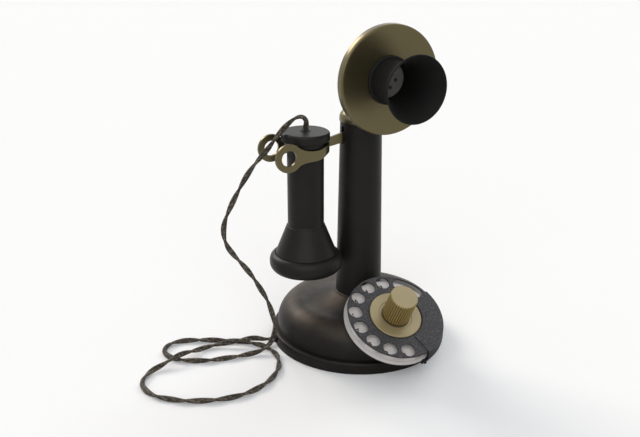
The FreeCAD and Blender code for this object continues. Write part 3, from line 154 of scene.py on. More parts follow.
class Wiring:
    """A material's or world's node tree, with short ways to add to it."""

    def __init__(self, tree: bpy.types.NodeTree) -> None:
        """Empty a tree, to fill it anew."""
        self.tree = tree
        tree.nodes.clear()

    def node(self, kind: str, settings: dict[str, object] | None = None,
             **sockets: object) -> bpy.types.Node:
        """Add any node.

        Args:
            kind: The node's type, without its ShaderNode prefix.
            settings: The node's own properties, which are set first.
            sockets: Input values or links, by socket name with underscores for spaces.

        Returns:
            The new node.
        """
        node = self.tree.nodes.new("ShaderNode" + kind)
        for key, value in (settings or {}).items():
            setattr(node, key, value)
        for key, value in sockets.items():
            self.join(value, self._input(node, key.replace("_", " ")))
        return node

    @staticmethod
    def _input(node: bpy.types.Node, name: str) -> bpy.types.NodeSocket:
        """The enabled input of that name, because a Mix node holds one set per data type."""
        return next(socket for socket in node.inputs if socket.name == name and socket.enabled)

    def join(self, value: object, socket: bpy.types.NodeSocket) -> None:
        """Link or set an input.

        Args:
            value: A Signal, an output socket, a colour, or a number.
            socket: The input.
        """
        if isinstance(value, Signal):
            self.tree.links.new(value.socket, socket)
        elif isinstance(value, bpy.types.NodeSocket):
            self.tree.links.new(value, socket)
        elif isinstance(value, tuple) and socket.type == "RGBA":
            socket.default_value = (*value, 1.0)
        else:
            socket.default_value = value

    def blend(self, share: "Signal | float", low: object, high: object) -> bpy.types.NodeSocket:
        """Mix two colours or links, where the share is that of the second."""
        node = self.node("Mix", {"data_type": "RGBA"}, Factor=share, A=low, B=high)
        return next(socket for socket in node.outputs if socket.type == "RGBA")

    def place(self) -> bpy.types.NodeSocket:
        """Coordinates in metres, fixed to the object."""
        return self.node("TexCoord").outputs["Object"]

    def dial_axes(self) -> tuple[Signal, Signal, Signal]:
        """Measure a place along the dial's own axes.

        Returns:
            Its coordinates across the dial, up its face, and out of it.
        """
        turned = Matrix.Rotation(-DIAL_TILT, 3, "X") @ DIAL_CENTRE
        place = self.node("Mapping", Vector=self.place(), Location=tuple(-turned),
                          Rotation=(-DIAL_TILT, 0.0, 0.0))
        parts = self.node("SeparateXYZ", Vector=place.outputs[0])
        return tuple(Signal(self.tree, socket) for socket in parts.outputs)

    @staticmethod
    def reach(across: Signal, upward: Signal) -> Signal:
        """The distance from the dial's axis of a place with these two coordinates."""
        return (across * across + upward * upward) ** 0.5

    def bump(self, height: Signal, depth: float) -> bpy.types.NodeSocket:
        """A normal from a pattern, from zero to one, whose relief is this deep."""
        return self.node("Bump", Height=height, Distance=depth, Strength=1.0).outputs["Normal"]


@dataclass(frozen=True)
class Clouds:
    """A cloud pattern, and how hard it is stretched where it picks out patches."""

    scale: float
    detail: float = 2.0
    small_share: float = 0.5
    level: float = 0.0
    gain: float = 1.0

    def drawn(self, wiring: Wiring, place: bpy.types.NodeSocket) -> Signal:
        """Draw the soft pattern.

        Args:
            wiring: The tree to draw it in.
            place: The coordinates that it follows.

        Returns:
            The pattern, from zero to one.
        """
        node = wiring.node("TexNoise", Vector=place, Scale=self.scale, Detail=self.detail,
                           Roughness=self.small_share)
        return Signal(wiring.tree, node.outputs["Fac"])

    def stretched(self, pattern: Signal) -> Signal:
        """A pattern with its level taken off, made stronger and clipped."""
        return ((pattern - self.level) * self.gain).clipped()

    def patches(self, wiring: Wiring, place: bpy.types.NodeSocket) -> Signal:
        """The stretched pattern at a place, from zero to one."""
        return self.stretched(self.drawn(wiring, place))


@dataclass(frozen=True)
class Finish:
    """A surface finish: a principled shader whose looks a subclass dresses."""

    name: str
    colour: Colour
    roughness: float
    specular: float = 0.5

    @property
    def title(self) -> str:
        """The material's name, which none of the frame's own materials has."""
        return f"telephone_{self.name}"

    def build(self) -> bpy.types.Material:
        """Make the material.

        Returns:
            The finished material.
        """
        material = bpy.data.materials.new(self.title)
        material.use_nodes = True
        wiring = Wiring(material.node_tree)
        shader = wiring.node("BsdfPrincipled", Base_Color=self.colour, Roughness=self.roughness,
                             Specular_IOR_Level=self.specular)
        output = wiring.node("OutputMaterial")
        wiring.join(shader.outputs[0], output.inputs["Surface"])
        self.dress(wiring, shader)
        return material

    def dress(self, wiring: Wiring, shader: bpy.types.Node) -> None:
        """Add what the plain shader lacks; subclasses say what."""

    def gloss(self, wiring: Wiring, shader: bpy.types.Node, change: Signal, swing: float) -> None:
        """Let a change, from zero to the swing, move the roughness about its middle value."""
        wiring.join(change + (self.roughness - swing / 2.0), shader.inputs["Roughness"])


@dataclass(frozen=True)
class Japanning(Finish):
    """Satin black stoving enamel over metal, slightly clouded and warm in its sheen."""

    sheen_colour: Colour = (0.019, 0.0178, 0.0162)
    metallic: float = 0.3
    clouds: Clouds = Clouds(38.0, detail=4.0, small_share=0.55, level=0.40, gain=3.0)
    peel: Clouds = Clouds(2600.0)
    rubs: Clouds = Clouds(120.0, detail=5.0, small_share=0.7, level=0.62, gain=4.0)
    rubbed_share: float = 0.35
    gloss_swing: float = 0.10
    peel_depth: float = 0.00003

    def dress(self, wiring: Wiring, shader: bpy.types.Node) -> None:
        """Cloud the colour and gloss, and add fine orange peel.

        Args:
            wiring: The material's tree.
            shader: Its principled shader.
        """
        place = wiring.place()
        clouds = self.clouds.patches(wiring, place)
        peel = self.peel.drawn(wiring, place)
        rubbed = self.rubs.patches(wiring, place) * self.rubbed_share
        colour = wiring.blend(clouds, self.colour, self.sheen_colour)
        wiring.join(wiring.blend(rubbed, colour, self.sheen_colour), shader.inputs["Base Color"])
        self.gloss(wiring, shader, clouds * self.gloss_swing, self.gloss_swing)
        shader.inputs["Metallic"].default_value = self.metallic
        wiring.join(wiring.bump(peel, self.peel_depth), shader.inputs["Normal"])


@dataclass(frozen=True)
class WornJapanning(Japanning):
    """The same enamel, rubbed brown where hands lift the telephone by its shoulder, and with a
    painted brown sheen high on the shoulder.
    """

    sheen_colour: Colour = (0.024, 0.0205, 0.0175)
    # Brown of the worn patches and of the painted sheen on the upper shoulder.
    worn: Colour = (0.105, 0.080, 0.060)
    worn_above: float = 0.026
    worn_band: float = 0.016
    worn_share: float = 0.8
    wear: Clouds = Clouds(30.0, detail=3.0, level=0.36, gain=3.0)

    def dress(self, wiring: Wiring, shader: bpy.types.Node) -> None:
        """Add the rubbed shoulder, with its painted sheen, to the enamel.

        Args:
            wiring: The material's tree.
            shader: Its principled shader.
        """
        super().dress(wiring, shader)
        place = wiring.place()
        height = Signal(wiring.tree, wiring.node("SeparateXYZ", Vector=place).outputs[2])
        patches = self.wear.patches(wiring, place)
        # Partly wear and partly painted sheen: patchy brown that grows with height up the shoulder.
        share = ((height - self.worn_above) / self.worn_band).clipped() * patches
        enamel = shader.inputs["Base Color"].links[0].from_socket
        wiring.join(wiring.blend(share * self.worn_share, enamel, self.worn),
                    shader.inputs["Base Color"])


@dataclass(frozen=True)
class DullBrass(Finish):
    """Old lacquered brass: satin, a little browned in patches, finely brushed."""

    browned: Colour = (0.26, 0.19, 0.085)
    metallic: float = 1.0
    tarnish: Clouds = Clouds(26.0, detail=5.0, small_share=0.6, level=0.42, gain=2.4)
    brushing: Clouds = Clouds(900.0, detail=3.0, small_share=0.6)
    browned_share: float = 0.45
    brushed_gloss: float = 0.10
    tarnished_gloss: float = 0.08
    brushing_depth: float = 0.00001

    def dress(self, wiring: Wiring, shader: bpy.types.Node) -> None:
        """Brown it in patches and brush it.

        Args:
            wiring: The material's tree.
            shader: Its principled shader.
        """
        place = wiring.place()
        patches = self.tarnish.drawn(wiring, place)
        fine = self.brushing.drawn(wiring, place)
        share = self.tarnish.stretched(patches) * self.browned_share
        wiring.join(wiring.blend(share, self.colour, self.browned), shader.inputs["Base Color"])
        change = fine * self.brushed_gloss + patches * self.tarnished_gloss
        self.gloss(wiring, shader, change, self.brushed_gloss + self.tarnished_gloss)
        shader.inputs["Metallic"].default_value = self.metallic
        wiring.join(wiring.bump(fine, self.brushing_depth), shader.inputs["Normal"])


@dataclass(frozen=True)
class TurnedBrass(DullBrass):
    """The dial's brass: turned in fine rings, with painted shade between the knob's flutes and
    round its foot.
    """

    # Colour of the painted shade in the flute valleys and round the knob's foot.
    grime: Colour = (0.055, 0.038, 0.016)
    handled: Colour = (0.35, 0.255, 0.085)
    flutes: int = 36
    knob_radius: float = 0.0121
    flute_depth: float = 0.0007
    knob_margin: float = 0.0004
    foot_margin: float = 0.0009
    knob_foot: float = 0.0016
    rings_per_metre: float = 2600.0
    rings: Clouds = Clouds(1.0)
    ring_share: float = 0.35
    grime_share: float = 0.8
    valley_level: float = 0.15
    valley_gain: float = 1.4

    def dress(self, wiring: Wiring, shader: bpy.types.Node) -> None:
        """Add the rings of turning, and painted shade in the flute valleys and at the knob's foot,
        to the dull brass.

        Args:
            wiring: The material's tree.
            shader: Its principled shader.
        """
        super().dress(wiring, shader)
        across, upward, height = wiring.dial_axes()
        reach = wiring.reach(across, upward)
        angle = upward.angle_from(across)
        side = (reach.above(self.knob_radius - self.flute_depth)
                * (self.knob_radius + self.knob_margin - reach).above(0.0)
                * height.above(self.knob_foot))
        waves = (angle * self.flutes).cosine()
        # Painted shade: the valleys between the knob's flutes are darkened.
        valley_shade = ((waves + self.valley_level) * self.valley_gain).clipped() * side
        # Painted contact shadow: a dark ring round the knob's foot.
        foot = ((self.knob_radius + self.foot_margin - reach).above(0.0)
                * (self.knob_foot - height).above(0.0))
        outward = wiring.node("CombineXYZ", X=reach * self.rings_per_metre).outputs[0]
        rings = self.rings.drawn(wiring, outward) * self.ring_share
        brass = shader.inputs["Base Color"].links[0].from_socket
        worn = wiring.blend(side, wiring.blend(rings, brass, self.browned), self.handled)
        share = (valley_shade * self.grime_share + foot * self.grime_share).clipped()
        wiring.join(wiring.blend(share, worn, self.grime), shader.inputs["Base Color"])


@dataclass(frozen=True)
class HardRubber(Finish):
    """Black vulcanised rubber, turned and gone slightly brown and dull with age."""

    aged: Colour = (0.021, 0.0190, 0.0165)
    metallic: float = 0.0
    age: Clouds = Clouds(45.0, detail=4.0, small_share=0.6, level=0.35, gain=1.8)
    turning: Clouds = Clouds(3200.0)
    gloss_swing: float = 0.12
    turning_depth: float = 0.00002

    def dress(self, wiring: Wiring, shader: bpy.types.Node) -> None:
        """Age it unevenly, with the fine grain of turning.

        Args:
            wiring: The material's tree.
            shader: Its principled shader.
        """
        place = wiring.place()
        age = self.age.drawn(wiring, place)
        turning = self.turning.drawn(wiring, place)
        wiring.join(wiring.blend(self.age.stretched(age), self.colour, self.aged),
                    shader.inputs["Base Color"])
        self.gloss(wiring, shader, age * self.gloss_swing, self.gloss_swing)
        shader.inputs["Metallic"].default_value = self.metallic
        wiring.join(wiring.bump(turning, self.turning_depth), shader.inputs["Normal"])


@dataclass(frozen=True)
class SpeckledEnamel(Finish):
    """Grey-black enamel with a fine pale speckle, as on the dial's wheel."""

    speck: Colour = (0.26, 0.25, 0.26)
    # Colour of the painted shade round the centre disc and on the outer sides below the wheel's
    # face.
    edge: Colour = (0.007, 0.007, 0.008)
    small: Clouds = Clouds(2400.0, detail=2.0, small_share=0.7)
    large: Clouds = Clouds(600.0, detail=3.0, small_share=0.7)
    small_weight: float = 0.6
    large_weight: float = 0.4
    speck_level: float = 0.50
    speck_gain: float = 7.0
    speck_share: float = 0.55
    gloss_loss: float = 0.12
    speck_depth: float = 0.00006
    disc_radius: float = 0.0240
    wheel_radius: float = 0.0427
    wheel_face: float = -0.0004

    def dress(self, wiring: Wiring, shader: bpy.types.Node) -> None:
        """Scatter the speckle in two sizes, and paint shade round the centre disc and on the outer
        sides below the wheel's face.

        Args:
            wiring: The material's tree.
            shader: Its principled shader.
        """
        place = wiring.place()
        small = self.small.drawn(wiring, place)
        large = self.large.drawn(wiring, place)
        both = small * self.small_weight + large * self.large_weight
        mask = ((both - self.speck_level) * self.speck_gain).clipped()
        across, upward, height = wiring.dial_axes()
        reach = wiring.reach(across, upward)
        # Painted shadow in the gap round the centre disc, and painted shade on the outer sides
        # below the wheel's face.
        hub_shadow = (self.disc_radius - reach).above(0.0)
        rim = reach.above(self.wheel_radius) * (self.wheel_face - height).above(0.0)
        speckled = wiring.blend(mask * self.speck_share, self.colour, self.speck)
        wiring.join(wiring.blend((hub_shadow + rim).clipped(), speckled, self.edge),
                    shader.inputs["Base Color"])
        wiring.join(mask * self.gloss_loss + self.roughness, shader.inputs["Roughness"])
        wiring.join(wiring.bump(small, self.speck_depth), shader.inputs["Normal"])


@dataclass(frozen=True)
class Enamel(Finish):
    """Pale enamel, faintly yellowed and dusty, with painted shade on its outer band at the dial's
    rim.
    """

    dust: Colour = (0.86, 0.79, 0.74)
    # Colour of the painted shade on the plate's outer band, which begins at the rim radius.
    soiled: Colour = (0.62, 0.585, 0.56)
    rim: float = 0.0405
    rim_sharpness: float = 500.0
    coarse: Clouds = Clouds(160.0, detail=5.0, small_share=0.7)
    fine: Clouds = Clouds(2200.0)
    coarse_weight: float = 0.7
    fine_weight: float = 0.3
    dust_level: float = 0.42
    dust_gain: float = 1.6
    gloss_swing: float = 0.2
    glaze: float = 0.05

    def dress(self, wiring: Wiring, shader: bpy.types.Node) -> None:
        """Dust the glaze, and paint shade on the outer band.

        Args:
            wiring: The material's tree.
            shader: Its principled shader.
        """
        place = wiring.place()
        coarse = self.coarse.drawn(wiring, place)
        fine = self.fine.drawn(wiring, place)
        across, upward, _ = wiring.dial_axes()
        reach = wiring.reach(across, upward)
        both = coarse * self.coarse_weight + fine * self.fine_weight
        dust = ((both - self.dust_level) * self.dust_gain).clipped()
        dusty = wiring.blend(dust, self.colour, self.dust)
        # Painted shade on the outer band, taking back there the lift in the enamel's colour.
        rim = ((reach - self.rim) * self.rim_sharpness).clipped()
        wiring.join(wiring.blend(rim, dusty, self.soiled), shader.inputs["Base Color"])
        self.gloss(wiring, shader, coarse * self.gloss_swing, self.gloss_swing)
        shader.inputs["Coat Weight"].default_value = self.glaze


@dataclass(frozen=True)
class PlainStock(Finish):
    """Working metal, fibre or felt of the inner pieces: one colour with a grain."""

    metallic: float = 0.0
    grain_scale: float = 800.0
    grain_depth: float = 0.00002
    contrast: float = 0.3
    gloss_swing: float = 0.2

    def dress(self, wiring: Wiring, shader: bpy.types.Node) -> None:
        """Vary the colour and gloss with the grain.

        Args:
            wiring: The material's tree.
            shader: Its principled shader.
        """
        grain = Clouds(self.grain_scale, detail=4.0, small_share=0.6).drawn(wiring, wiring.place())
        shade = tuple(part * (1.0 - self.contrast) for part in self.colour)
        wiring.join(wiring.blend(grain, shade, self.colour), shader.inputs["Base Color"])
        self.gloss(wiring, shader, grain * self.gloss_swing, self.gloss_swing)
        shader.inputs["Metallic"].default_value = self.metallic
        wiring.join(wiring.bump(grain, self.grain_depth), shader.inputs["Normal"])


@dataclass(frozen=True)
class CottonBraid(Finish):
    """A strand's woven cotton cover: crossing threads of dark and lighter brown."""

    light_thread: Colour = (0.42, 0.34, 0.24)
    threads_round: float = 7.0
    threads_per_metre: float = 620.0
    crossing_gain: float = 1.6
    flecks: Clouds = Clouds(420.0, detail=3.0, small_share=0.7, level=0.47, gain=8.0)
    crossing_gloss: float = -0.15
    relief: float = 0.00012
    fuzz: float = 0.25

    def dress(self, wiring: Wiring, shader: bpy.types.Node) -> None:
        """Weave two sets of slanting threads in the strand's own coordinates.

        Args:
            wiring: The material's tree.
            shader: Its principled shader.
        """
        weave = wiring.node("UVMap").outputs[0]
        parts = wiring.node("SeparateXYZ", Vector=weave)
        along = Signal(wiring.tree, parts.outputs[0])
        round_about = Signal(wiring.tree, parts.outputs[1])
        turns = round_about * (FULL_TURN * self.threads_round)
        lay = along * (FULL_TURN * self.threads_per_metre)
        right = (turns + lay).sine() * 0.5 + 0.5
        left = (turns - lay).sine() * 0.5 + 0.5
        cover = (right * left * self.crossing_gain).clipped()
        light = cover * self.flecks.patches(wiring, wiring.place())
        wiring.join(wiring.blend(light, self.colour, self.light_thread),
                    shader.inputs["Base Color"])
        wiring.join(cover * self.crossing_gloss + self.roughness, shader.inputs["Roughness"])
        wiring.join(wiring.bump(cover, self.relief), shader.inputs["Normal"])
        shader.inputs["Sheen Weight"].default_value = self.fuzz


class Look(Enum):
    """Every finish on the telephone."""

    BLACK_METAL = Japanning("satin_black_metal", (0.0165, 0.0157, 0.0145), 0.46, specular=0.10)
    BASE_METAL = WornJapanning("worn_sheened_black_metal", (0.0150, 0.0142, 0.0130), 0.45, specular=0.10)
    FACE_BRASS = DullBrass("dull_brass", (0.124, 0.104, 0.052), 0.30,
                           browned=(0.088, 0.070, 0.031), metallic=0.8)
    DIAL_BRASS = TurnedBrass("dial_brass", (0.35, 0.285, 0.160), 0.45,
                             browned=(0.25, 0.195, 0.095), metallic=0.35)
    INNER_BRASS = DullBrass("bare_brass", (0.55, 0.42, 0.20), 0.35)
    RUBBER = HardRubber("black_hard_rubber", (0.0150, 0.0142, 0.0130), 0.42, specular=0.12,
                        metallic=0.3)
    HORN = HardRubber("mouthpiece_rubber", (0.009, 0.009, 0.0085), 0.62, specular=0.12,
                      aged=(0.014, 0.013, 0.012))
    # The grille's pale grey is lifted as painted light for the shaded throat of the mouthpiece.
    GRILLE = HardRubber("grille_rubber", (0.22, 0.21, 0.20), 0.60, specular=0.3,
                        aged=(0.17, 0.16, 0.15))
    SPECKLE = SpeckledEnamel("speckled_enamel", (0.034, 0.032, 0.034), 0.55, specular=0.25)
    # The enamel's colour is lifted past plain white paint, as painted light for the plate seen in
    # shade through the finger holes.
    WHITE = Enamel("white_enamel", (0.95, 0.88, 0.835), 0.75, specular=0.1)
    INK = PlainStock("number_black", (0.020, 0.020, 0.021), 0.5)
    STEEL = PlainStock("plain_steel", (0.42, 0.42, 0.43), 0.38, metallic=1.0)
    MAGNET = PlainStock("magnet_steel", (0.12, 0.12, 0.13), 0.5, metallic=0.8)
    FIBRE = PlainStock("red_fibre", (0.22, 0.075, 0.045), 0.6, grain_scale=300.0)
    FELT = PlainStock("black_felt", (0.018, 0.020, 0.019), 0.95, grain_scale=1800.0,
                      grain_depth=0.0003)
    CARBON = PlainStock("carbon_cell", (0.03, 0.03, 0.03), 0.55)
    WINDING = PlainStock("silk_winding", (0.16, 0.045, 0.022), 0.6, grain_scale=2500.0,
                         grain_depth=0.00008)
    CORD = CottonBraid("cotton_braid", (0.032, 0.0265, 0.020), 0.85, specular=0.2)

    def material(self) -> bpy.types.Material:
        """The finish's material, made once."""
        return bpy.data.materials.get(self.value.title) or self.value.build()


def dress_node(node: str, look: Look) -> None:
    """Give a CAD node its finish.

    Args:
        node: The node's name.
        look: The finish.
    """
    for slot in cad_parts[node].material_slots:
        slot.material = look.material()


def new_piece(name: str, mesh: bpy.types.Mesh, look: Look, body: str) -> bpy.types.Object:
    """Put a mesh in the scene as a piece that rides on a body.

    Args:
        name: The piece's name.
        mesh: Its mesh, in metres in the model's frame.
        look: Its finish.
        body: The body that carries it.

    Returns:
        The new object.
    """
    piece = bpy.data.objects.new(name, mesh)
    bpy.context.scene.collection.objects.link(piece)
    mesh.materials.clear()
    mesh.materials.append(look.material())
    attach(piece, body)
    log.info("%s: %d faces on %s", name, len(mesh.polygons), body)
    return piece


@dataclass
class DressedAssembly:
    """A sub-assembly whose CAD nodes only need their finishes."""

    finishes: dict[str, Look]

    def build(self) -> None:
        """Dress each node."""
        for node, look in self.finishes.items():
            dress_node(node, look)
        log.info("dressed %s", ", ".join(self.finishes))


@dataclass
class Base(DressedAssembly):
    """The round foot with its plate, pad and terminals."""

    finishes: dict[str, Look] = field(default_factory=lambda: {
        "base_shell": Look.BASE_METAL, "stem_foot_ring": Look.BASE_METAL, "base_plate": Look.STEEL,
        "foot_pad": Look.FELT, "plate_screws": Look.STEEL, "terminal_block": Look.FIBRE,
        "terminal_screws": Look.INNER_BRASS, "cord_grommet": Look.RUBBER,
    })


@dataclass
class Stem(DressedAssembly):
    """The tapered tube, its cap, and the hook switch inside it."""

    finishes: dict[str, Look] = field(default_factory=lambda: {
        "stem_tube": Look.BLACK_METAL, "stem_nut": Look.STEEL, "stem_cap": Look.FACE_BRASS,
        "tilt_screw": Look.FACE_BRASS, "tilt_nut": Look.FACE_BRASS,
        "switch_frame": Look.INNER_BRASS, "hook_pin": Look.STEEL,
        "contact_leaves": Look.INNER_BRASS, "leaf_insulators": Look.FIBRE,
        "hook_lever": Look.FACE_BRASS, "hook_roller": Look.FIBRE,
    })


@dataclass
class Transmitter(DressedAssembly):
    """The tilting head with its trumpet mouthpiece."""

    finishes: dict[str, Look] = field(default_factory=lambda: {
        "face_plate": Look.FACE_BRASS, "transmitter_cup": Look.BLACK_METAL, "mouthpiece": Look.HORN,
        "mouthpiece_grille": Look.GRILLE, "voice_disc": Look.CARBON, "carbon_button": Look.CARBON,
        "button_bridge": Look.INNER_BRASS, "transmitter_lug": Look.BLACK_METAL,
    })


@dataclass
class Receiver(DressedAssembly):
    """The hanging receiver."""

    finishes: dict[str, Look] = field(default_factory=lambda: {
        "receiver_shell": Look.RUBBER, "ear_cap": Look.RUBBER, "sound_disc": Look.STEEL,
        "receiver_cap": Look.RUBBER, "cord_nut": Look.HORN, "receiver_magnet": Look.MAGNET,
        "magnet_clamp": Look.INNER_BRASS, "pole_coils": Look.WINDING,
    })


@dataclass
class Dial(DressedAssembly):
    """The sloping dial, with ten plain numbers in a ring on its plate."""

    finishes: dict[str, Look] = field(default_factory=lambda: {
        "dial_housing": Look.BLACK_METAL, "number_plate": Look.WHITE, "dial_guard": Look.SPECKLE,
        "stop_screw": Look.SPECKLE, "finger_wheel": Look.SPECKLE, "centre_disc": Look.DIAL_BRASS,
        "dial_knob": Look.DIAL_BRASS, "dial_shaft": Look.STEEL, "main_gear": Look.INNER_BRASS,
        "mainspring": Look.STEEL, "second_arbor": Look.INNER_BRASS, "governor": Look.INNER_BRASS,
        "mechanism_plate": Look.INNER_BRASS,
    })
    digits: int = 10
    plate_height: float = -0.0080
    number_ring: float = 0.0358
    number_size: float = 0.0056
    number_thickness: float = 0.00008
    number_boldness: float = 0.00022
    first_angle: float = 28.9
    pitch: float = 360.0 / 14.0

    def build(self) -> None:
        """Dress the CAD nodes and print the numbers."""
        super().build()
        for place in range(self.digits):
            self.number(place)

    def number(self, place: int) -> None:
        """Print one number on the plate.

        Args:
            place: The finger hole's place, counted from the stop.
        """
        digit = (place + 1) % self.digits
        lettering = bpy.data.curves.new("number", "FONT")
        lettering.body = str(digit)
        lettering.size = self.number_size
        lettering.align_x = "CENTER"
        lettering.align_y = "CENTER"
        lettering.extrude = self.number_thickness
        lettering.offset = self.number_boldness
        source = bpy.data.objects.new("number_source", lettering)
        mesh = bpy.data.meshes.new_from_object(source)
        bpy.data.objects.remove(source)
        angle = math.radians(self.first_angle + self.pitch * place)
        spot = Vector((math.cos(angle), math.sin(angle), 0.0)) * self.number_ring
        spot.z = self.plate_height + self.number_thickness
        mesh.transform(self.frame() @ Matrix.Translation(spot))
        new_piece(f"number_{digit}", mesh, Look.INK, "stand")

    def frame(self) -> Matrix:
        """The dial's own axes in the model's frame, with Z out of the dial."""
        return Matrix.Translation(DIAL_CENTRE) @ Matrix.Rotation(DIAL_TILT, 4, "X")


@dataclass
class Cord:
    """A limp pair of braided strands, from the receiver's gland to the base's bush."""

    strand_radius: float = 0.00125
    pair_radius: float = 0.00120
    twist_length: float = 0.050
    strand_sides: int = 12
    step: float = 0.0011
    length: float = 0.831
    radius: float = 0.00245
    bush_height: float = 0.0052
    bush_angle: float = 169.7
    rim_radius: float = 0.080
    curve_steps: int = 16
    curve_order: int = 3
    free_from: int = 9
    resting_from: int = 18

    def route(self) -> list[Vector]:
        """List the route's given points, as in the part's source.

        Returns:
            The points in metres.
        """
        floor = self.radius / MILLIMETRE
        over = floor + 5.4
        top = 204.2
        hang = [(-54, 0, top - 7.8), (-54, 0, top + 1.8), (-52.6, 0, top + 7.2),
                (-55.8, 0, top + 11.8), (-62.0, 0.1, top + 12.2), (-70.0, 0.3, 211.4),
                (-79.0, 0.6, 203.0), (-89.0, 0.9, 191.0), (-102.5, 1.2, 178.5),
                (-113.5, 1.4, 163.0), (-122.5, 1.5, 147.5), (-130.5, 1.6, 131.5),
                (-130.0, 1.7, 114.5), (-120.5, 1.9, 99.5), (-109.5, 2.2, 85.5),
                (-100.5, 2.4, 70.0), (-91.5, 2.7, 53.0), (-86.0, 2.8, 36.0)]
        out = [(-84.2, 2.6, 20.0), (-88.5, 1.5, 10.0), (-97.5, 1.0, floor + 1.4),
               (-110.5, 2.4, floor), (-128.0, 4.6, floor), (-144.0, 7.5, floor),
               (-160.0, 14.0, floor), (-174.5, 25.5, floor), (-178.5, 41.5, floor),
               (-168.5, 54.5, floor), (-151.0, 53.0, floor), (-132.0, 43.5, floor),
               (-113.5, 33.0, floor), (-98.5, 20.5, floor), (-88.6, 4.5, floor),
               (-88.6, -15.5, floor)]
        back = [(-98.2, -35.6, floor), (-117.5, -52.0, floor), (-143.0, -59.5, floor),
                (-170.5, -54.2, floor), (-194.0, -41.5, floor), (-210.5, -23.0, floor),
                (-212.0, -2.0, floor), (-199.5, 13.0, floor), (-186.0, 16.5, floor + 1.8),
                (-176.0, 17.6, over), (-165.5, 21.6, over), (-154.0, 27.0, floor + 1.9),
                (-139.5, 32.2, floor), (-127.0, 30.8, floor + 0.9),
                (-116.5, 25.6, floor + 3.1), (-106.0, 21.6, over), (-96.2, 18.9, over)]
        bush = [self.bush_point(9.7), self.bush_point(-2.5)]
        return [Vector(point) * MILLIMETRE for point in hang + out + back] + bush

    def bush_point(self, distance: float) -> Vector:
        """A point in line with the base's bush.

        Args:
            distance: Millimetres outside the rim.

        Returns:
            The point in metres.
        """
        angle = math.radians(self.bush_angle)
        reach = self.rim_radius + distance * MILLIMETRE
        return Vector((reach * math.cos(angle), reach * math.sin(angle), self.bush_height))

    def centreline(self) -> list[Vector]:
        """Follow the smooth line that the route's points control.

        Returns:
            Points along it, in metres.
        """
        curve = bpy.data.curves.new("cord_route", "CURVE")
        curve.dimensions = "3D"
        curve.resolution_u = self.curve_steps
        spline = curve.splines.new("NURBS")
        points = self.route()
        spline.points.add(len(points) - 1)
        for slot, point in zip(spline.points, points):
            slot.co = (*point, 1.0)
        spline.order_u = self.curve_order
        spline.use_endpoint_u = True
        source = bpy.data.objects.new("cord_route", curve)
        mesh = bpy.data.meshes.new_from_object(source)
        line = [vertex.co.copy() for vertex in mesh.vertices]
        bpy.data.objects.remove(source)
        bpy.data.meshes.remove(mesh)
        return line

    def evenly(self, line: Sequence[Vector]) -> list[Vector]:
        """The same line at even steps, for the strands.

        Args:
            line: Points along it.

        Returns:
            Points a step apart.
        """
        total = sum((b - a).length for a, b in zip(line, line[1:]))
        count = round(total / self.step)
        spacing = total / count
        result = [line[0].copy()]
        travelled = 0.0
        for a, b in zip(line, line[1:]):
            stretch = (b - a).length
            while len(result) * spacing <= travelled + stretch and len(result) < count:
                share = (len(result) * spacing - travelled) / stretch
                result.append(a.lerp(b, share))
            travelled += stretch
        result.append(line[-1].copy())
        return result

    def build(self) -> None:
        """Twist two strands round the route."""
        centre = self.evenly(self.centreline())
        mesh = bpy.data.meshes.new("twisted_cord")
        form = bmesh.new()
        weave = form.loops.layers.uv.new("weave")
        for strand in range(2):
            self.strand(form, weave, centre, strand * math.pi)
        form.to_mesh(mesh)
        form.free()
        for face in mesh.polygons:
            face.use_smooth = True
        piece = bpy.data.objects.new("twisted_cord", mesh)
        bpy.context.scene.collection.objects.link(piece)
        mesh.materials.append(Look.CORD.material())
        route = self.route()
        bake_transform(piece)
        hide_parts("cord_hanging", "cord_lying")
        tuple(centre[0])
        [tuple(point) for point in centre]
        log.info("twisted_cord: %d faces", len(mesh.polygons))

    @staticmethod
    def carried(line: Sequence[Vector]) -> Iterator[tuple[Vector, Vector]]:
        """The way ahead and a sideways direction that doesn't twist, at each point of a line.

        Args:
            line: The points.

        Yields:
            Both directions, each of length one.
        """
        side = Vector((0.0, 1.0, 0.0))
        for index in range(len(line)):
            ahead = line[min(index + 1, len(line) - 1)] - line[max(index - 1, 0)]
            ahead.normalize()
            side = (side - ahead * side.dot(ahead)).normalized()
            yield ahead, side

    def strand(self, form: bmesh.types.BMesh, weave: bmesh.types.BMLayerItem,
               centre: Sequence[Vector], phase: float) -> None:
        """Sweep one strand.

        Args:
            form: The mesh being built.
            weave: Its layer of weave coordinates.
            centre: The pair's centreline.
            phase: The strand's place round the pair, in radians.
        """
        middles = []
        for index, (ahead, side) in enumerate(self.carried(centre)):
            turn = phase + FULL_TURN * index * self.step / self.twist_length
            outward = side * math.cos(turn) + ahead.cross(side) * math.sin(turn)
            middles.append(centre[index] + outward * self.pair_radius)
        sides = self.strand_sides
        angles = [FULL_TURN * k / sides for k in range(sides)]
        rings = []
        for middle, (ahead, side) in zip(middles, self.carried(middles)):
            up = ahead.cross(side)
            rings.append([form.verts.new(middle + (side * math.cos(angle) + up * math.sin(angle))
                                         * self.strand_radius) for angle in angles])
        for index, (first, second) in enumerate(zip(rings, rings[1:])):
            near, far = index * self.step, (index + 1) * self.step
            for k in range(sides):
                following = (k + 1) % sides
                face = form.faces.new((first[k], first[following], second[following], second[k]))
                low, high = k / sides, (k + 1) / sides
                corners = ((near, low), (near, high), (far, high), (far, low))
                for loop, place in zip(face.loops, corners):
                    loop[weave].uv = place
        form.faces.new(list(reversed(rings[0])))
        form.faces.new(rings[-1])


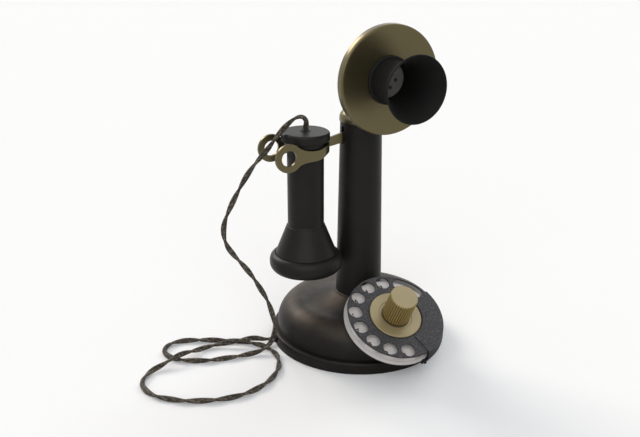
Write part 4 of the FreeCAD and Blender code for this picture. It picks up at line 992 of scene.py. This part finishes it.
@dataclass(frozen=True)
class Lamp:
    """A far, broad light on everything, whose spread is in degrees."""

    name: str
    towards: tuple[float, float, float]
    spread: float
    strength: float
    colour: Colour = (0.94, 0.97, 1.0)

    def shine(self) -> None:
        """Hang the light."""
        light = bpy.data.lights.new(self.name, "SUN")
        light.angle = math.radians(self.spread)
        light.energy = self.strength
        light.color = self.colour
        lamp = bpy.data.objects.new(self.name, light)
        lamp.rotation_euler = (-Vector(self.towards)).to_track_quat("-Z", "Y").to_euler()
        bpy.context.scene.collection.objects.link(lamp)


@dataclass
class Studio:
    """A pale sweep of floor, soft lamps and the camera."""

    camera_place: tuple[float, float, float] = (-0.37198, -0.65700, 0.39846)
    camera_azimuth: float = -26.8
    camera_pitch: float = 20.589
    lens: float = 50.0
    sensor: float = 36.0
    nearest: float = 0.01
    floor_size: float = 12.0
    floor_colour: Colour = (0.86, 0.86, 0.86)
    floor_glow: float = 0.14
    sky_seen: float = 0.88
    sky_light: float = 0.12
    white: Colour = (1.0, 1.0, 1.0)
    lamps: tuple[Lamp, ...] = (
        Lamp("key_lamp", (-0.25, 0.85, 0.60), spread=26.0, strength=1.62,
             colour=(1.0, 0.92, 0.84)),
        Lamp("overhead_lamp", (0.0, 0.15, 1.0), spread=110.0, strength=0.72),
        Lamp("front_lamp", (-0.42, -0.78, 0.62), spread=60.0, strength=1.15),
        Lamp("rear_lamp", (0.80, 0.55, 0.62), spread=45.0, strength=0.95),
    )

    def build(self) -> None:
        """Set up the floor, world, lamps and camera."""
        bpy.context.scene.view_settings.view_transform = "Standard"
        self.floor()
        self.world()
        for lamp in self.lamps:
            lamp.shine()
        self.camera()

    def floor(self) -> None:
        """Lay a pale floor that keeps the object's shadow."""
        half = self.floor_size / 2
        mesh = bpy.data.meshes.new("floor")
        corners = [(-half, -half, 0.0), (half, -half, 0.0), (half, half, 0.0), (-half, half, 0.0)]
        mesh.from_pydata(corners, [], [(0, 1, 2, 3)])
        floor = bpy.data.objects.new("floor", mesh)
        bpy.context.scene.collection.objects.link(floor)
        material = bpy.data.materials.new("pale_floor")
        material.use_nodes = True
        wiring = Wiring(material.node_tree)
        paper = wiring.node("BsdfDiffuse", Color=self.floor_colour)
        glow = wiring.node("Emission", Color=self.white,
                           Strength=self.seen(wiring, self.floor_glow))
        both = wiring.node("AddShader")
        wiring.join(paper.outputs[0], both.inputs[0])
        wiring.join(glow.outputs[0], both.inputs[1])
        wiring.join(both.outputs[0], wiring.node("OutputMaterial").inputs["Surface"])
        mesh.materials.append(material)

    @staticmethod
    def seen(wiring: Wiring, strength: float) -> Signal:
        """A strength that only the camera, glossy and see-through rays meet.

        Args:
            wiring: The tree.
            strength: The strength that they meet.

        Returns:
            The strength as a signal.
        """
        path = wiring.node("LightPath")
        rays = [Signal(wiring.tree, path.outputs[name])
                for name in ("Is Camera Ray", "Is Glossy Ray", "Is Transmission Ray")]
        return (rays[0] + rays[1] + rays[2]).clipped() * strength

    def world(self) -> None:
        """White behind the object, and a soft even light on it."""
        world = bpy.data.worlds.new("studio")
        bpy.context.scene.world = world
        world.use_nodes = True
        wiring = Wiring(world.node_tree)
        strength = self.seen(wiring, self.sky_seen) + self.sky_light
        sky = wiring.node("Background", Color=self.white, Strength=strength)
        wiring.join(sky.outputs[0], wiring.node("OutputWorld").inputs["Surface"])

    def camera(self) -> None:
        """Look from the photograph's place."""
        data = bpy.data.cameras.new("photo_camera")
        data.lens = self.lens
        data.sensor_width = self.sensor
        data.clip_start = self.nearest
        camera = bpy.data.objects.new("photo_camera", data)
        camera.location = self.camera_place
        camera.rotation_euler = (math.radians(90.0 - self.camera_pitch), 0.0,
                                 math.radians(self.camera_azimuth))
        bpy.context.scene.collection.objects.link(camera)
        bpy.context.scene.camera = camera


def main() -> None:
    """Build the scene in order."""
    logging.basicConfig(level=logging.INFO, format="%(name)s %(message)s")
    Studio().build()
    Cord().build()
    for assembly in (Base(), Stem(), Transmitter(), Receiver(), Dial()):
        assembly.build()


if __name__ == "__main__":
    main()
